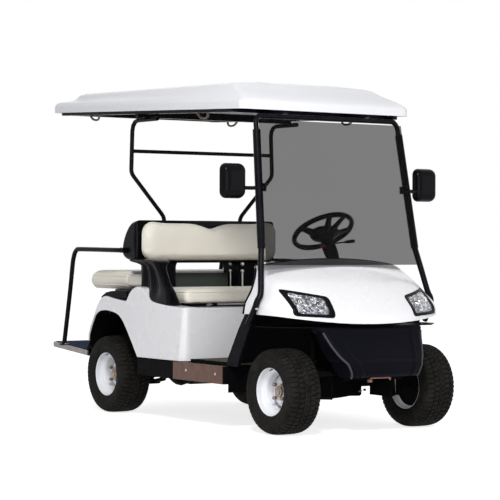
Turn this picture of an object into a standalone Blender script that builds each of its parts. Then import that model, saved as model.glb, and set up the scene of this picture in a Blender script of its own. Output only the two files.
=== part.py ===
"""A four-seat golf cart: two seats facing forwards, two facing back over a footplate, under one roof.

Metres, +Z up. The front faces -Y and the driver sits on the +X side, which is the cart's left.
The origin is on the floor, under the middle of the whole cart's box. The cart is built up as the real one is:
a tubular frame, an axle and springs behind, arms and coil-overs in front, moulded body panels over them,
a bent-tube windscreen frame and rear struts that carry the roof, and four wheels.
"""

import math

import bmesh
import bpy
from mathutils import Matrix, Vector

for stale in list(bpy.data.objects):
    bpy.data.objects.remove(stale, do_unlink=True)

# Units and clearances shared by the whole cart
MM = 0.001
GAP = 0.3 * MM
RUNNING_GAP = 0.6 * MM
OVERRUN = 20 * MM
SIDES = (("l", 1), ("r", -1))

# Driving dimensions
WHEELBASE = 1.66
FRONT_OVERHANG = 0.34
REAR_OVERHANG = 0.74
FRONT_TRACK = 0.912
REAR_TRACK = 1.012
TYRE_RADIUS = 0.230
TYRE_WIDTH = 0.205
RIM_WIDTH = 0.180
FRAME_BOTTOM_Z = 0.285
FRAME_RAIL_HEIGHT = 0.060
FLOOR_HEIGHT = 0.366
SEAT_HEIGHT = 0.765
SEAT_HALF_WIDTH = 0.492
SHOULDER_WIDTH = 0.108
ROOF_EDGE_HEIGHT = 1.748

# Places that follow from them
OVERALL_LENGTH = FRONT_OVERHANG + WHEELBASE + REAR_OVERHANG
FRONT_Y = -OVERALL_LENGTH / 2
REAR_Y = OVERALL_LENGTH / 2
FRONT_AXLE_Y = FRONT_Y + FRONT_OVERHANG
REAR_AXLE_Y = FRONT_AXLE_Y + WHEELBASE
FRAME_TOP_Z = FRAME_BOTTOM_Z + FRAME_RAIL_HEIGHT
BODY_HALF_WIDTH = SEAT_HALF_WIDTH + SHOULDER_WIDTH

# Colours, as linear RGB, roughness and metallic share
FINISHES = {
    "body_white": ((0.86, 0.86, 0.88), 0.25, 0.0),
    "roof_white": ((0.84, 0.84, 0.84), 0.35, 0.0),
    "cream_vinyl": ((0.80, 0.75, 0.64), 0.55, 0.0),
    "moulded_black": ((0.014, 0.014, 0.018), 0.45, 0.0),
    "tube_black": ((0.008, 0.009, 0.014), 0.30, 0.0),
    "chassis_black": ((0.012, 0.012, 0.014), 0.50, 0.0),
    "rubber": ((0.018, 0.018, 0.019), 0.80, 0.0),
    "wheel_white": ((0.83, 0.84, 0.88), 0.30, 0.0),
    "bare_metal": ((0.50, 0.50, 0.50), 0.35, 1.0),
    "trim_aluminium": ((0.42, 0.33, 0.30), 0.40, 1.0),
    "smoked_glass": ((0.20, 0.20, 0.20), 0.08, 0.0),
    "lamp_lens": ((0.72, 0.74, 0.78), 0.10, 0.0),
    "tail_red": ((0.50, 0.02, 0.02), 0.25, 0.0),
    "floor_mat": ((0.10, 0.085, 0.06), 0.90, 0.0),
}


def finish_of(name):
    """The Principled material of that name, made once."""
    if name in bpy.data.materials:
        return bpy.data.materials[name]
    colour, roughness, metallic = FINISHES[name]
    material = bpy.data.materials.new(name)
    material.use_nodes = True
    shader = material.node_tree.nodes["Principled BSDF"]
    shader.inputs["Base Color"].default_value = (*colour, 1)
    shader.inputs["Roughness"].default_value = roughness
    shader.inputs["Metallic"].default_value = metallic
    return material


# Raw shapes: each returns a mesh object that a node is later put together from
def raw(bm, label="raw"):
    """A mesh object made from bm, with its faces turned outwards."""
    bmesh.ops.recalc_face_normals(bm, faces=bm.faces)
    mesh = bpy.data.meshes.new(label)
    bm.to_mesh(mesh)
    bm.free()
    obj = bpy.data.objects.new(label, mesh)
    bpy.context.collection.objects.link(obj)
    return obj


def loft(rings, capped=True):
    """A solid skinned over rings of equal point counts; uncapped, the last ring joins the first."""
    bm = bmesh.new()
    rows = [[bm.verts.new(point) for point in ring] for ring in rings]
    pairs = list(zip(rows, rows[1:]))
    if not capped:
        pairs.append((rows[-1], rows[0]))
    for lower, upper in pairs:
        count = len(lower)
        for i in range(count):
            j = (i + 1) % count
            bm.faces.new((lower[i], lower[j], upper[j], upper[i]))
    if capped:
        bm.faces.new(rows[0])
        bm.faces.new(rows[-1])
    return raw(bm, "loft")


def block(low, high):
    """A box between two corners."""
    (x0, y0, z0), (x1, y1, z1) = low, high
    corners = ((x0, y0), (x1, y0), (x1, y1), (x0, y1))
    return loft([[(x, y, z) for x, y in corners] for z in (z0, z1)])


def shell(outer, inner, wraps, crowned=False):
    """A thin wall between two grids of rows, which wrap round or stay open; a crown closes the last row."""
    bm = bmesh.new()
    grids = [[[bm.verts.new(point) for point in row] for row in grid] for grid in (outer, inner)]
    count = len(outer[0])
    steps = [(i, (i + 1) % count) for i in range(count if wraps else count - 1)]
    for grid in grids:
        for lower, upper in zip(grid, grid[1:]):
            for i, j in steps:
                bm.faces.new((lower[i], lower[j], upper[j], upper[i]))
        if crowned:
            bm.faces.new(grid[-1])
    for row in (0,) if crowned else (0, -1):
        for i, j in steps:
            bm.faces.new((grids[0][row][i], grids[0][row][j], grids[1][row][j], grids[1][row][i]))
    if not wraps:
        for row in range(len(outer) - 1):
            for i in (0, -1):
                a, b = grids[0][row][i], grids[0][row + 1][i]
                c, d = grids[1][row + 1][i], grids[1][row][i]
                bm.faces.new((a, b, c, d))
    return raw(bm, "shell")


def prism(outline, axis, low, high):
    """An outline pushed along X, Y or Z, its points given in the other two axes in that order."""
    place = {
        "X": lambda a, b, along: (along, a, b),
        "Y": lambda a, b, along: (a, along, b),
        "Z": lambda a, b, along: (a, b, along),
    }[axis]
    return loft([[place(a, b, along) for a, b in outline] for along in (low, high)])


def across(direction):
    """Two unit vectors square to a direction and to each other."""
    direction = Vector(direction).normalized()
    steep = abs(direction.z) >= abs(direction.x) + abs(direction.y)
    helper = Vector((1, 0, 0)) if steep else Vector((0, 0, 1))
    first = direction.cross(helper).normalized()
    return first, direction.cross(first).normalized()


def circle_points(centre, axis, radius, sides, start=0.0):
    """Points round a circle square to axis."""
    first, second = across(axis)
    angles = [start + 2 * math.pi * i / sides for i in range(sides)]
    return [Vector(centre) + radius * (math.cos(a) * first + math.sin(a) * second) for a in angles]


def rod(start, end, radius, sides=12):
    """A round bar between two points."""
    axis = Vector(end) - Vector(start)
    return loft([circle_points(point, axis, radius, sides) for point in (start, end)])


def cone(start, end, radii, sides=12):
    """A round bar whose radius changes along its length."""
    axis = Vector(end) - Vector(start)
    steps = len(radii) - 1
    rings = [
        circle_points(Vector(start) + axis * i / steps, axis, radius, sides) for i, radius in enumerate(radii)
    ]
    return loft(rings)


def turned(profile, centre, axis, sides, start=0.0):
    """A ring turned about an axis through centre, from a closed profile of (along, radius) points."""
    axis = Vector(axis).normalized()
    rings = []
    for along, radius in profile:
        rings.append(circle_points(Vector(centre) + along * axis, axis, radius, sides, start))
    return loft(rings, capped=False)


def bent(corners, radius, steps=4):
    """A path through corner points, each inner corner rounded by an arc of the given bend radius."""
    points = [Vector(point) for point in corners]
    path = [points[0]]
    for before, corner, after in zip(points, points[1:], points[2:]):
        into, out = (before - corner).normalized(), (after - corner).normalized()
        half = into.angle(out) / 2
        reach = min(radius / math.tan(half), (before - corner).length / 2, (after - corner).length / 2)
        bend = reach * math.tan(half)
        middle = corner + (into + out).normalized() * (bend / math.sin(half))
        first = corner + into * reach - middle
        last = corner + out * reach - middle
        sweep = first.angle(last)
        normal = first.cross(last).normalized()
        path += [middle + Matrix.Rotation(sweep * i / steps, 3, normal) @ first for i in range(steps + 1)]
    path.append(points[-1])
    return path


def tube(path, radius, sides=10):
    """A round tube swept along a path, its rings mitred at each point."""
    directions = [(b - a).normalized() for a, b in zip(path, path[1:])]
    first, second = across(directions[0])
    rings = []
    for i, point in enumerate(path):
        before = directions[max(i - 1, 0)]
        after = directions[min(i, len(directions) - 1)]
        mitre = (before + after).normalized()
        ring = []
        for side in range(sides):
            angle = 2 * math.pi * side / sides
            offset = radius * (math.cos(angle) * first + math.sin(angle) * second)
            ring.append(point + offset - before * (offset.dot(mitre) / before.dot(mitre)))
        rings.append(ring)
        turn = before.rotation_difference(after)
        first, second = turn @ first, turn @ second
    return loft(rings)


def rounded_box_outline(half_a, half_b, corner, steps=3, centre=(0, 0)):
    """The points of a rectangle with round corners."""
    points = []
    for quarter, (sign_a, sign_b) in enumerate(((1, 1), (-1, 1), (-1, -1), (1, -1))):
        for i in range(steps + 1):
            angle = math.pi / 2 * (quarter + i / steps)
            points.append(
                (
                    centre[0] + sign_a * (half_a - corner) + corner * math.cos(angle),
                    centre[1] + sign_b * (half_b - corner) + corner * math.sin(angle),
                )
            )
    return points


def spread(shares, origin, size):
    """Outline shares turned into lengths."""
    return [(origin[0] + a * size[0], origin[1] + b * size[1]) for a, b in shares]


def rounded(obj, width, segments=2, limit_degrees=40):
    """Rounds the edges of a raw shape."""
    modifier = obj.modifiers.new("Round", "BEVEL")
    modifier.width = width
    modifier.segments = segments
    modifier.limit_method = "ANGLE"
    modifier.angle_limit = math.radians(limit_degrees)
    return obj


def settle(obj):
    """Writes an object's modifiers into its mesh."""
    bpy.context.view_layer.update()
    graph = bpy.context.evaluated_depsgraph_get()
    mesh = bpy.data.meshes.new_from_object(obj.evaluated_get(graph))
    obj.modifiers.clear()
    obj.data = mesh
    return obj


def combined(pieces, cuts=(), keep=()):
    """One solid: the pieces joined, less the cuts, and only what lies inside the keeps."""
    base = pieces[0]
    steps = [("UNION", piece) for piece in pieces[1:]]
    steps += [("DIFFERENCE", cut) for cut in cuts]
    steps += [("INTERSECT", limit) for limit in keep]
    for operation, other in steps:
        modifier = base.modifiers.new(operation, "BOOLEAN")
        modifier.operation = operation
        modifier.solver = "EXACT"
        modifier.object = other
    settle(base)
    for _, other in steps:
        bpy.data.objects.remove(other, do_unlink=True)
    return base


def node(name, pieces, finish, cuts=(), keep=(), origin=None, smooth_degrees=35):
    """A named sub-part made from raw pieces, shaded smooth, its origin on its joint's axis if it has one."""
    obj = combined(list(pieces), cuts, keep)
    obj.name = name
    obj.data.name = name
    obj.data.materials.clear()
    obj.data.materials.append(finish_of(finish))
    for polygon in obj.data.polygons:
        polygon.material_index = 0
    obj.data.shade_smooth()
    obj.data.set_sharp_from_angle(angle=math.radians(smooth_degrees))
    if origin is not None:
        obj.data.transform(Matrix.Translation(-Vector(origin)))
        obj.location = origin
    return obj


def mirrored(point, side):
    """A point with its X on the given side."""
    return (side * point[0], point[1], point[2])


# Frame: two rails wide apart at the back and close together between the front wheels
RAIL_WIDTH = 0.040
REAR_RAIL_INSET = 0.206
REAR_RAIL_X = REAR_TRACK / 2 - REAR_RAIL_INSET
NOSE_RAIL_X = 0.180
NOSE_RAIL_SETBACK = 0.1455
NOSE_RAIL_FRONT_Y = FRONT_Y + NOSE_RAIL_SETBACK
NOSE_RAIL_REAR_Y = -0.560
REAR_RAIL_FRONT_Y = -0.640
REAR_RAIL_SETBACK = 0.475
REAR_RAIL_REAR_Y = REAR_Y - REAR_RAIL_SETBACK
OUTRIGGER_HEIGHT = 0.030
OUTRIGGER_WIDTH = 0.040
OUTRIGGER_YS = (-0.610, -0.230, 0.200)
SILL_INNER_X = 0.556
SILL_OUTER_X = 0.606
SILL_BOTTOM_Z = 0.250
SILL_FRONT_Y = -0.680
SILL_REAR_Y = 0.240
REAR_CROSS_YS = (0.320, 0.860)
FRAME_EDGE_RADIUS = 0.006


def rail(side, x, front_y, rear_y):
    low = (x - RAIL_WIDTH / 2, front_y, FRAME_BOTTOM_Z)
    high = (x + RAIL_WIDTH / 2, rear_y, FRAME_TOP_Z)
    if side < 0:
        low, high = (-high[0], low[1], low[2]), (-low[0], high[1], high[2])
    return block(low, high)


def make_frame():
    pieces = []
    middle_z = FRAME_BOTTOM_Z + FRAME_RAIL_HEIGHT / 2
    for y in OUTRIGGER_YS:
        low = (-SILL_INNER_X - FRAME_EDGE_RADIUS, y - OUTRIGGER_WIDTH / 2, middle_z - OUTRIGGER_HEIGHT / 2)
        high = (SILL_INNER_X + FRAME_EDGE_RADIUS, y + OUTRIGGER_WIDTH / 2, middle_z + OUTRIGGER_HEIGHT / 2)
        pieces.append(block(low, high))
    for y in REAR_CROSS_YS:
        low = (-REAR_RAIL_X, y - OUTRIGGER_WIDTH / 2, middle_z - OUTRIGGER_HEIGHT / 2)
        high = (REAR_RAIL_X, y + OUTRIGGER_WIDTH / 2, middle_z + OUTRIGGER_HEIGHT / 2)
        pieces.append(block(low, high))
    nose_cross_y = NOSE_RAIL_FRONT_Y + OUTRIGGER_WIDTH / 2
    pieces.append(
        block(
            (-NOSE_RAIL_X, nose_cross_y - OUTRIGGER_WIDTH / 2, FRAME_BOTTOM_Z + FRAME_EDGE_RADIUS),
            (NOSE_RAIL_X, nose_cross_y + OUTRIGGER_WIDTH / 2, FRAME_TOP_Z - FRAME_EDGE_RADIUS),
        )
    )
    for _, side in SIDES:
        pieces.append(rail(side, NOSE_RAIL_X, NOSE_RAIL_FRONT_Y, NOSE_RAIL_REAR_Y))
        pieces.append(rail(side, REAR_RAIL_X, REAR_RAIL_FRONT_Y, REAR_RAIL_REAR_Y))
        sill = ((SILL_INNER_X, SILL_FRONT_Y, SILL_BOTTOM_Z), (SILL_OUTER_X, SILL_REAR_Y, FRAME_TOP_Z))
        xs = sorted(side * corner[0] for corner in sill)
        pieces.append(block((xs[0], *sill[0][1:]), (xs[1], *sill[1][1:])))
        hanger_x = side * REAR_RAIL_X
        for y, bottom in ((SPRING_FRONT_Y, SPRING_EYE_Z), (SPRING_REAR_Y, SPRING_EYE_Z)):
            pieces.append(
                block(
                    (hanger_x - RAIL_WIDTH / 2, y - HANGER_LENGTH / 2, bottom + SPRING_EYE_RADIUS + GAP),
                    (hanger_x + RAIL_WIDTH / 2, y + HANGER_LENGTH / 2, FRAME_BOTTOM_Z + FRAME_EDGE_RADIUS),
                )
            )
        pieces.append(tower(side))
        pieces.append(shock_bracket(side))
    rack_y = FRONT_AXLE_Y - STEERING_ARM_LENGTH
    bore_half = NOSE_RAIL_X + RAIL_WIDTH
    rack_bore = rod((-bore_half, rack_y, TIE_ROD_Z), (bore_half, rack_y, TIE_ROD_Z), RACK_BORE_RADIUS, 10)
    return node("frame", pieces, "chassis_black", [rack_bore])


def shock_bracket(side):
    """An upright on the rear rail that reaches out over the shock absorber's head."""
    inner, outer = REAR_RAIL_X - RAIL_WIDTH / 2, SHOCK_X + SHOCK_RADIUS
    outline = [
        (inner, FRAME_TOP_Z - FRAME_EDGE_RADIUS),
        (inner + TOWER_THICKNESS, FRAME_TOP_Z - FRAME_EDGE_RADIUS),
        (inner + TOWER_THICKNESS, SHOCK_TOP_Z + GAP),
        (outer, SHOCK_TOP_Z + GAP),
        (outer, SHOCK_TOP_Z + GAP + TOWER_THICKNESS),
        (inner, SHOCK_TOP_Z + GAP + TOWER_THICKNESS),
    ]
    low, high = REAR_AXLE_Y - SHOCK_RADIUS, REAR_AXLE_Y + SHOCK_RADIUS
    return prism([(side * x, z) for x, z in outline], "Y", low, high)


# Rear axle and springs
AXLE_TUBE_RADIUS = 0.032
AXLE_TUBE_SETBACK = 0.114
AXLE_TUBE_END_X = REAR_TRACK / 2 - AXLE_TUBE_SETBACK
SPINDLE_RADIUS = 0.0125
SPINDLE_LENGTH = 0.070
DIFF_RADIUS = 0.090
DIFF_HALF_WIDTH = 0.075
DIFF_X = -0.060
MOTOR_RADIUS = 0.085
MOTOR_LENGTH = 0.240
SPRING_EYE_Z = 0.232
SPRING_EYE_RADIUS = 0.020
SPRING_FRONT_Y = 0.390
SPRING_REAR_Y = 0.870
SPRING_SAG = 0.040
SPRING_WIDTH = 0.046
SPRING_CLIP_SHARE = 0.8
SPRING_LEAF = 0.009
SPRING_LEAVES = 3
HANGER_LENGTH = 0.050
SHOCK_RADIUS = 0.019
SHOCK_ROD_RADIUS = 0.008
SHOCK_TOP_Z = 0.470
SHOCK_INSET = 0.161
SHOCK_X = REAR_TRACK / 2 - SHOCK_INSET

# Front suspension
KINGPIN_X = 0.325
KINGPIN_RADIUS = 0.0135
KINGPIN_BOTTOM_Z = 0.196
KINGPIN_TOP_Z = 0.318
TRUNNION_RADIUS = 0.006
TRUNNION_BORE = 0.0072
TRUNNION_LENGTH = 0.012
ARM_EYE_RADIUS = 0.015
ARM_THICKNESS = 0.015
ARM_TUBE_RADIUS = 0.0072
ARM_PLATE_THICKNESS = 0.006
ARM_SPREAD = 0.090
ARM_ROOT_X = NOSE_RAIL_X + RAIL_WIDTH / 2 + GAP
COIL_RADIUS = 0.026
COIL_WIRE_RADIUS = 0.0045
COIL_BOTTOM_Z = 0.400
COIL_TOP_Z = 0.500
DAMPER_RADIUS = 0.015
DAMPER_FOOT_X = 0.288
DAMPER_HEAD_X = 0.262
TOWER_THICKNESS = 0.008
TOWER_HALF_LENGTH = 0.050
TOWER_TOP_Z = 0.530


def tower(side):
    """The plate that stands on the nose rail and reaches out over the damper's head."""
    base_x = NOSE_RAIL_X + RAIL_WIDTH / 2 - TOWER_THICKNESS
    outer_x = DAMPER_HEAD_X + DAMPER_RADIUS + TOWER_THICKNESS
    outline = [
        (base_x, FRAME_TOP_Z - FRAME_EDGE_RADIUS),
        (base_x + TOWER_THICKNESS, FRAME_TOP_Z - FRAME_EDGE_RADIUS),
        (base_x + TOWER_THICKNESS, TOWER_TOP_Z - TOWER_THICKNESS),
        (outer_x, TOWER_TOP_Z - TOWER_THICKNESS),
        (outer_x, TOWER_TOP_Z),
        (base_x, TOWER_TOP_Z),
    ]
    low, high = FRONT_AXLE_Y - TOWER_HALF_LENGTH, FRONT_AXLE_Y + TOWER_HALF_LENGTH
    return prism([(side * x, z) for x, z in outline], "Y", low, high)


def make_rear_axle():
    middle = Vector((0, REAR_AXLE_Y, TYRE_RADIUS))
    end, tip = AXLE_TUBE_END_X, AXLE_TUBE_END_X + SPINDLE_LENGTH
    pieces = [
        rod(middle - Vector((end, 0, 0)), middle + Vector((end, 0, 0)), AXLE_TUBE_RADIUS, 12),
        cone(
            middle + Vector((DIFF_X - DIFF_HALF_WIDTH, 0, 0)),
            middle + Vector((DIFF_X + DIFF_HALF_WIDTH, 0, 0)),
            [DIFF_RADIUS * share for share in DIFF_SWELL_SHARES],
            12,
        ),
        rod(middle, middle + Vector((MOTOR_LENGTH, 0, 0)), MOTOR_RADIUS, 14),
        rod(middle - Vector((tip, 0, 0)), middle + Vector((tip, 0, 0)), SPINDLE_RADIUS, 12),
    ]
    for _, side in SIDES:
        seat = middle + Vector((side * REAR_RAIL_X, 0, -AXLE_TUBE_RADIUS))
        half = (SPRING_WIDTH / 2, SPRING_WIDTH * SPRING_CLIP_SHARE, SPRING_PAD_THICKNESS)
        low = seat - Vector((half[0], half[1], half[2]))
        high = seat + Vector((half[0], half[1], half[2]))
        pieces.append(block(low, high))
    return node("rear_axle", pieces, "chassis_black")


DIFF_SWELL_SHARES = (0.55, 0.9, 1.0, 0.9, 0.55)
SPRING_PAD_THICKNESS = 0.008
SPRING_LEAF_LENGTH_SHARES = (1.0, 0.72, 0.45)
SPRING_ARC_STEPS = 6


def leaf_outline(length_share, depth_down):
    """One curved leaf seen from the side: an arc that sags between the spring's eyes."""
    half = (SPRING_REAR_Y - SPRING_FRONT_Y) / 2
    middle = (SPRING_REAR_Y + SPRING_FRONT_Y) / 2
    top_z = REAR_AXLE_Z_UNDER_PAD - depth_down
    upper, lower = [], []
    for i in range(SPRING_ARC_STEPS + 1):
        share = (2 * i / SPRING_ARC_STEPS - 1) * length_share
        z = top_z + SPRING_SAG * share * share
        upper.append((middle + share * half, z))
        lower.append((middle + share * half, z - SPRING_LEAF))
    return upper + lower[::-1]


SPRING_SEAT_DROP = 0.0025
REAR_AXLE_Z_UNDER_PAD = TYRE_RADIUS - AXLE_TUBE_RADIUS - SPRING_PAD_THICKNESS - SPRING_SEAT_DROP


def make_rear_suspension(label, side):
    low, high = sorted((side * (REAR_RAIL_X - SPRING_WIDTH / 2), side * (REAR_RAIL_X + SPRING_WIDTH / 2)))
    pieces = []
    for i, share in enumerate(SPRING_LEAF_LENGTH_SHARES):
        pieces.append(prism(leaf_outline(share, i * (SPRING_LEAF - GAP)), "X", low, high))
    for y in (SPRING_FRONT_Y, SPRING_REAR_Y):
        pieces.append(rod((low, y, SPRING_EYE_Z), (high, y, SPRING_EYE_Z), SPRING_EYE_RADIUS, 8))
    return node(f"rear_spring_{label}", pieces, "chassis_black")


def make_rear_shock(label, side):
    foot = Vector((side * SHOCK_X, REAR_AXLE_Y, TYRE_RADIUS + AXLE_TUBE_RADIUS + GAP))
    head = Vector((side * SHOCK_X, REAR_AXLE_Y, SHOCK_TOP_Z))
    pieces = [
        rod(foot, head, SHOCK_ROD_RADIUS, 10),
        rod(foot.lerp(head, SHOCK_BODY_SHARES[0]), foot.lerp(head, SHOCK_BODY_SHARES[1]), SHOCK_RADIUS, 14),
    ]
    return node(f"rear_shock_{label}", pieces, "bare_metal")


SHOCK_BODY_SHARES = (0.12, 0.62)


def make_front_suspension(label, side):
    """Upper and lower arms with a coil-over standing on the upper one."""
    pieces, cuts = [], []
    kingpin = Vector((side * KINGPIN_X, FRONT_AXLE_Y, 0))
    levels = (
        KINGPIN_BOTTOM_Z - RUNNING_GAP - ARM_THICKNESS / 2,
        KINGPIN_TOP_Z + RUNNING_GAP + ARM_THICKNESS / 2,
    )
    for z in levels:
        eye = kingpin + Vector((0, 0, z))
        half = Vector((0, 0, ARM_THICKNESS / 2))
        pieces.append(rod(eye - half, eye + half, ARM_EYE_RADIUS, 10))
        cuts.append(rod(eye - 2 * half, eye + 2 * half, TRUNNION_BORE, 8))
        inner = eye - Vector((side * ARM_EYE_RADIUS, 0, 0))
        for spread_sign in (1, -1):
            root_y = FRONT_AXLE_Y + spread_sign * ARM_SPREAD
            root = Vector((side * (ARM_ROOT_X + ARM_PLATE_THICKNESS), root_y, z))
            pieces.append(rod(inner, root, ARM_TUBE_RADIUS, 6))
        cross = ARM_CROSS_SHARE
        cross_x = inner.x + (side * ARM_ROOT_X - inner.x) * cross
        pieces.append(
            rod(
                (cross_x, FRONT_AXLE_Y - ARM_SPREAD * cross, z),
                (cross_x, FRONT_AXLE_Y + ARM_SPREAD * cross, z),
                ARM_TUBE_RADIUS,
                6,
            )
        )
    plate_x = sorted((side * ARM_ROOT_X, side * (ARM_ROOT_X + ARM_PLATE_THICKNESS)))
    plate_reach = ARM_SPREAD + ARM_TUBE_RADIUS
    pieces.append(
        block(
            (plate_x[0], FRONT_AXLE_Y - plate_reach, levels[0] - ARM_TUBE_RADIUS),
            (plate_x[1], FRONT_AXLE_Y + plate_reach, FRAME_TOP_Z),
        )
    )
    foot = Vector((side * DAMPER_FOOT_X, FRONT_AXLE_Y, levels[0]))
    head = Vector((side * DAMPER_HEAD_X, FRONT_AXLE_Y, TOWER_TOP_Z - TOWER_THICKNESS - SHOCK_ROD_RADIUS / 4))
    along = (head - foot).normalized()

    def at_height(z):
        return foot + (head - foot) * ((z - foot.z) / (head.z - foot.z))

    pieces.append(rod(foot, at_height(COIL_BOTTOM_Z), DAMPER_RADIUS, 10))
    pieces.append(rod(at_height(COIL_BOTTOM_Z) - along * SEAT_THICKNESS, at_height(COIL_TOP_Z), COIL_RADIUS
                      - COIL_WIRE_RADIUS, 12))
    for z in (COIL_BOTTOM_Z, COIL_TOP_Z):
        seat = at_height(z)
        pieces.append(rod(seat - along * SEAT_THICKNESS, seat + along * SEAT_THICKNESS, COIL_RADIUS, 12))
    pieces.append(rod(at_height(COIL_TOP_Z), head, SHOCK_ROD_RADIUS, 8))
    return node(f"front_suspension_{label}", pieces, "chassis_black", cuts)


SEAT_THICKNESS = 0.004
ARM_CROSS_SHARE = 0.6

# Steering: knuckles turn about the kingpins, and the rack's tie rods sit over their steering arms
STEERING_ARM_LENGTH = 0.125
STEERING_ARM_THICKNESS = 0.008
STEERING_ARM_WIDTH = 0.022
STEERING_ARM_TOP_Z = 0.306
TIE_ROD_RADIUS = 0.008
TIE_ROD_END_RADIUS = 0.009
TIE_ROD_Z = 0.320
RACK_HALF_LENGTH = 0.150
RACK_RADIUS = 0.016
RACK_HOUSING_RADIUS = 0.026
RACK_HOUSING_HALF_LENGTH = 0.070
RACK_BORE_RADIUS = 0.0175
FRONT_SPINDLE_END_X = 0.460
SPINDLE_FLANGE_RADIUS = 0.024
SPINDLE_FLANGE_THICKNESS = 0.010


def make_knuckle(label, side):
    x, y = side * KINGPIN_X, FRONT_AXLE_Y
    hub = Vector((x, y, TYRE_RADIUS))
    out = Vector((side, 0, 0))
    arm_front = y - STEERING_ARM_LENGTH - STEERING_ARM_WIDTH / 2
    pieces = [
        rod((x, y, KINGPIN_BOTTOM_Z), (x, y, KINGPIN_TOP_Z), KINGPIN_RADIUS, 10),
        rod(
            (x, y, KINGPIN_BOTTOM_Z - TRUNNION_LENGTH),
            (x, y, KINGPIN_TOP_Z + TRUNNION_LENGTH),
            TRUNNION_RADIUS,
            8,
        ),
        rod(hub, Vector((side * FRONT_SPINDLE_END_X, y, TYRE_RADIUS)), SPINDLE_RADIUS, 12),
        block(
            (x - STEERING_ARM_WIDTH / 2, arm_front, STEERING_ARM_TOP_Z - STEERING_ARM_THICKNESS),
            (x + STEERING_ARM_WIDTH / 2, y, STEERING_ARM_TOP_Z),
        ),
        rod(hub, hub + out * (KINGPIN_RADIUS + SPINDLE_FLANGE_THICKNESS), SPINDLE_FLANGE_RADIUS, 10),
    ]
    return node(f"knuckle_{label}", pieces, "bare_metal", origin=(x, y, 0))


def make_tie_rods():
    """The rack bar with a tie rod at each end, and a ball stud over each steering arm's eye."""
    y = FRONT_AXLE_Y - STEERING_ARM_LENGTH
    pieces = [
        rod((-RACK_HALF_LENGTH, y, TIE_ROD_Z), (RACK_HALF_LENGTH, y, TIE_ROD_Z), RACK_RADIUS, 10),
        rod((-KINGPIN_X, y, TIE_ROD_Z), (KINGPIN_X, y, TIE_ROD_Z), TIE_ROD_RADIUS, 8),
    ]
    for _, side in SIDES:
        stud = Vector((side * KINGPIN_X, y, 0))
        low = Vector((0, 0, STEERING_ARM_TOP_Z + RUNNING_GAP))
        high = Vector((0, 0, TIE_ROD_Z + TIE_ROD_RADIUS))
        pieces.append(rod(stud + low, stud + high, TIE_ROD_END_RADIUS, 8))
    return node("tie_rods", pieces, "bare_metal")


def make_rack_housing():
    """The steering box: a sleeve round the rack, held by a saddle on the front crossmember."""
    y = FRONT_AXLE_Y - STEERING_ARM_LENGTH
    pieces = [
        rod(
            (-RACK_HOUSING_HALF_LENGTH, y, TIE_ROD_Z),
            (RACK_HOUSING_HALF_LENGTH, y, TIE_ROD_Z),
            RACK_HOUSING_RADIUS,
            10,
        ),
        block(
            (-RACK_HOUSING_HALF_LENGTH, NOSE_CROSS_REAR_Y + GAP, FRAME_BOTTOM_Z),
            (RACK_HOUSING_HALF_LENGTH, y, TIE_ROD_Z),
        ),
    ]
    bore = rod(
        (-RACK_HALF_LENGTH, y, TIE_ROD_Z),
        (RACK_HALF_LENGTH, y, TIE_ROD_Z),
        RACK_BORE_RADIUS,
        16,
    )
    return node("rack_housing", pieces, "chassis_black", [bore])


NOSE_CROSS_REAR_Y = NOSE_RAIL_FRONT_Y + OUTRIGGER_WIDTH
STEERING_CENTRE = (0.270, -0.390, 1.090)
STEERING_TILT = math.radians(33)
STEERING_RING_RADIUS = 0.176
STEERING_GRIP_RADIUS = 0.0135
STEERING_SHAFT_RADIUS = 0.0095
STEERING_HUB_RADIUS = 0.052
STEERING_HUB_DEPTH = 0.035
COLUMN_RADIUS = 0.026
COLUMN_BORE_RADIUS = 0.0101
COLUMN_TOP_DROP = 0.060
COLUMN_LENGTH = 0.640
SHAFT_LENGTH = 0.655
STEERING_AXIS = Vector((0, math.sin(STEERING_TILT), math.cos(STEERING_TILT)))
SPOKE_ANGLES = (0, 180, 270)
SPOKE_WIDTH = 0.026
SPOKE_THICKNESS = 0.010
LEVER_LENGTH = 0.160
LEVER_RADIUS = 0.004
LEVER_DROP = 0.085
RING_SEGMENTS = 20
GRIP_SIDES = 6


def make_steering_wheel():
    centre = Vector(STEERING_CENTRE)
    axis = STEERING_AXIS
    right = Vector((1, 0, 0))
    up = axis.cross(right).normalized()
    grip = [
        (STEERING_GRIP_RADIUS * math.sin(a), STEERING_RING_RADIUS + STEERING_GRIP_RADIUS * math.cos(a))
        for a in [2 * math.pi * i / GRIP_SIDES for i in range(GRIP_SIDES)]
    ]
    hub_low = centre - axis * (STEERING_HUB_DEPTH + STEERING_GRIP_RADIUS)
    hub_radii = [STEERING_HUB_RADIUS * share for share in HUB_SHARES]
    pieces = [
        turned(grip, centre, axis, RING_SEGMENTS),
        cone(hub_low, centre - axis * STEERING_GRIP_RADIUS, hub_radii, 16),
        rod(centre - axis * SHAFT_LENGTH, centre - axis * STEERING_HUB_DEPTH, STEERING_SHAFT_RADIUS, 12),
    ]
    for degrees in SPOKE_ANGLES:
        angle = math.radians(degrees)
        out = math.cos(angle) * right + math.sin(angle) * up
        wide = axis.cross(out).normalized() * (SPOKE_WIDTH / 2)
        thick = axis * (SPOKE_THICKNESS / 2)
        rings = []
        for distance, drop in ((0, STEERING_HUB_DEPTH / 2), (STEERING_RING_RADIUS, 0)):
            base = centre + out * distance - axis * drop
            rings.append([base + wide + thick, base - wide + thick, base - wide - thick, base + wide - thick])
        pieces.append(loft(rings))
    return node("steering_wheel", pieces, "moulded_black", origin=centre)


HUB_SHARES = (0.55, 0.95, 1.0, 0.75)


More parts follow.
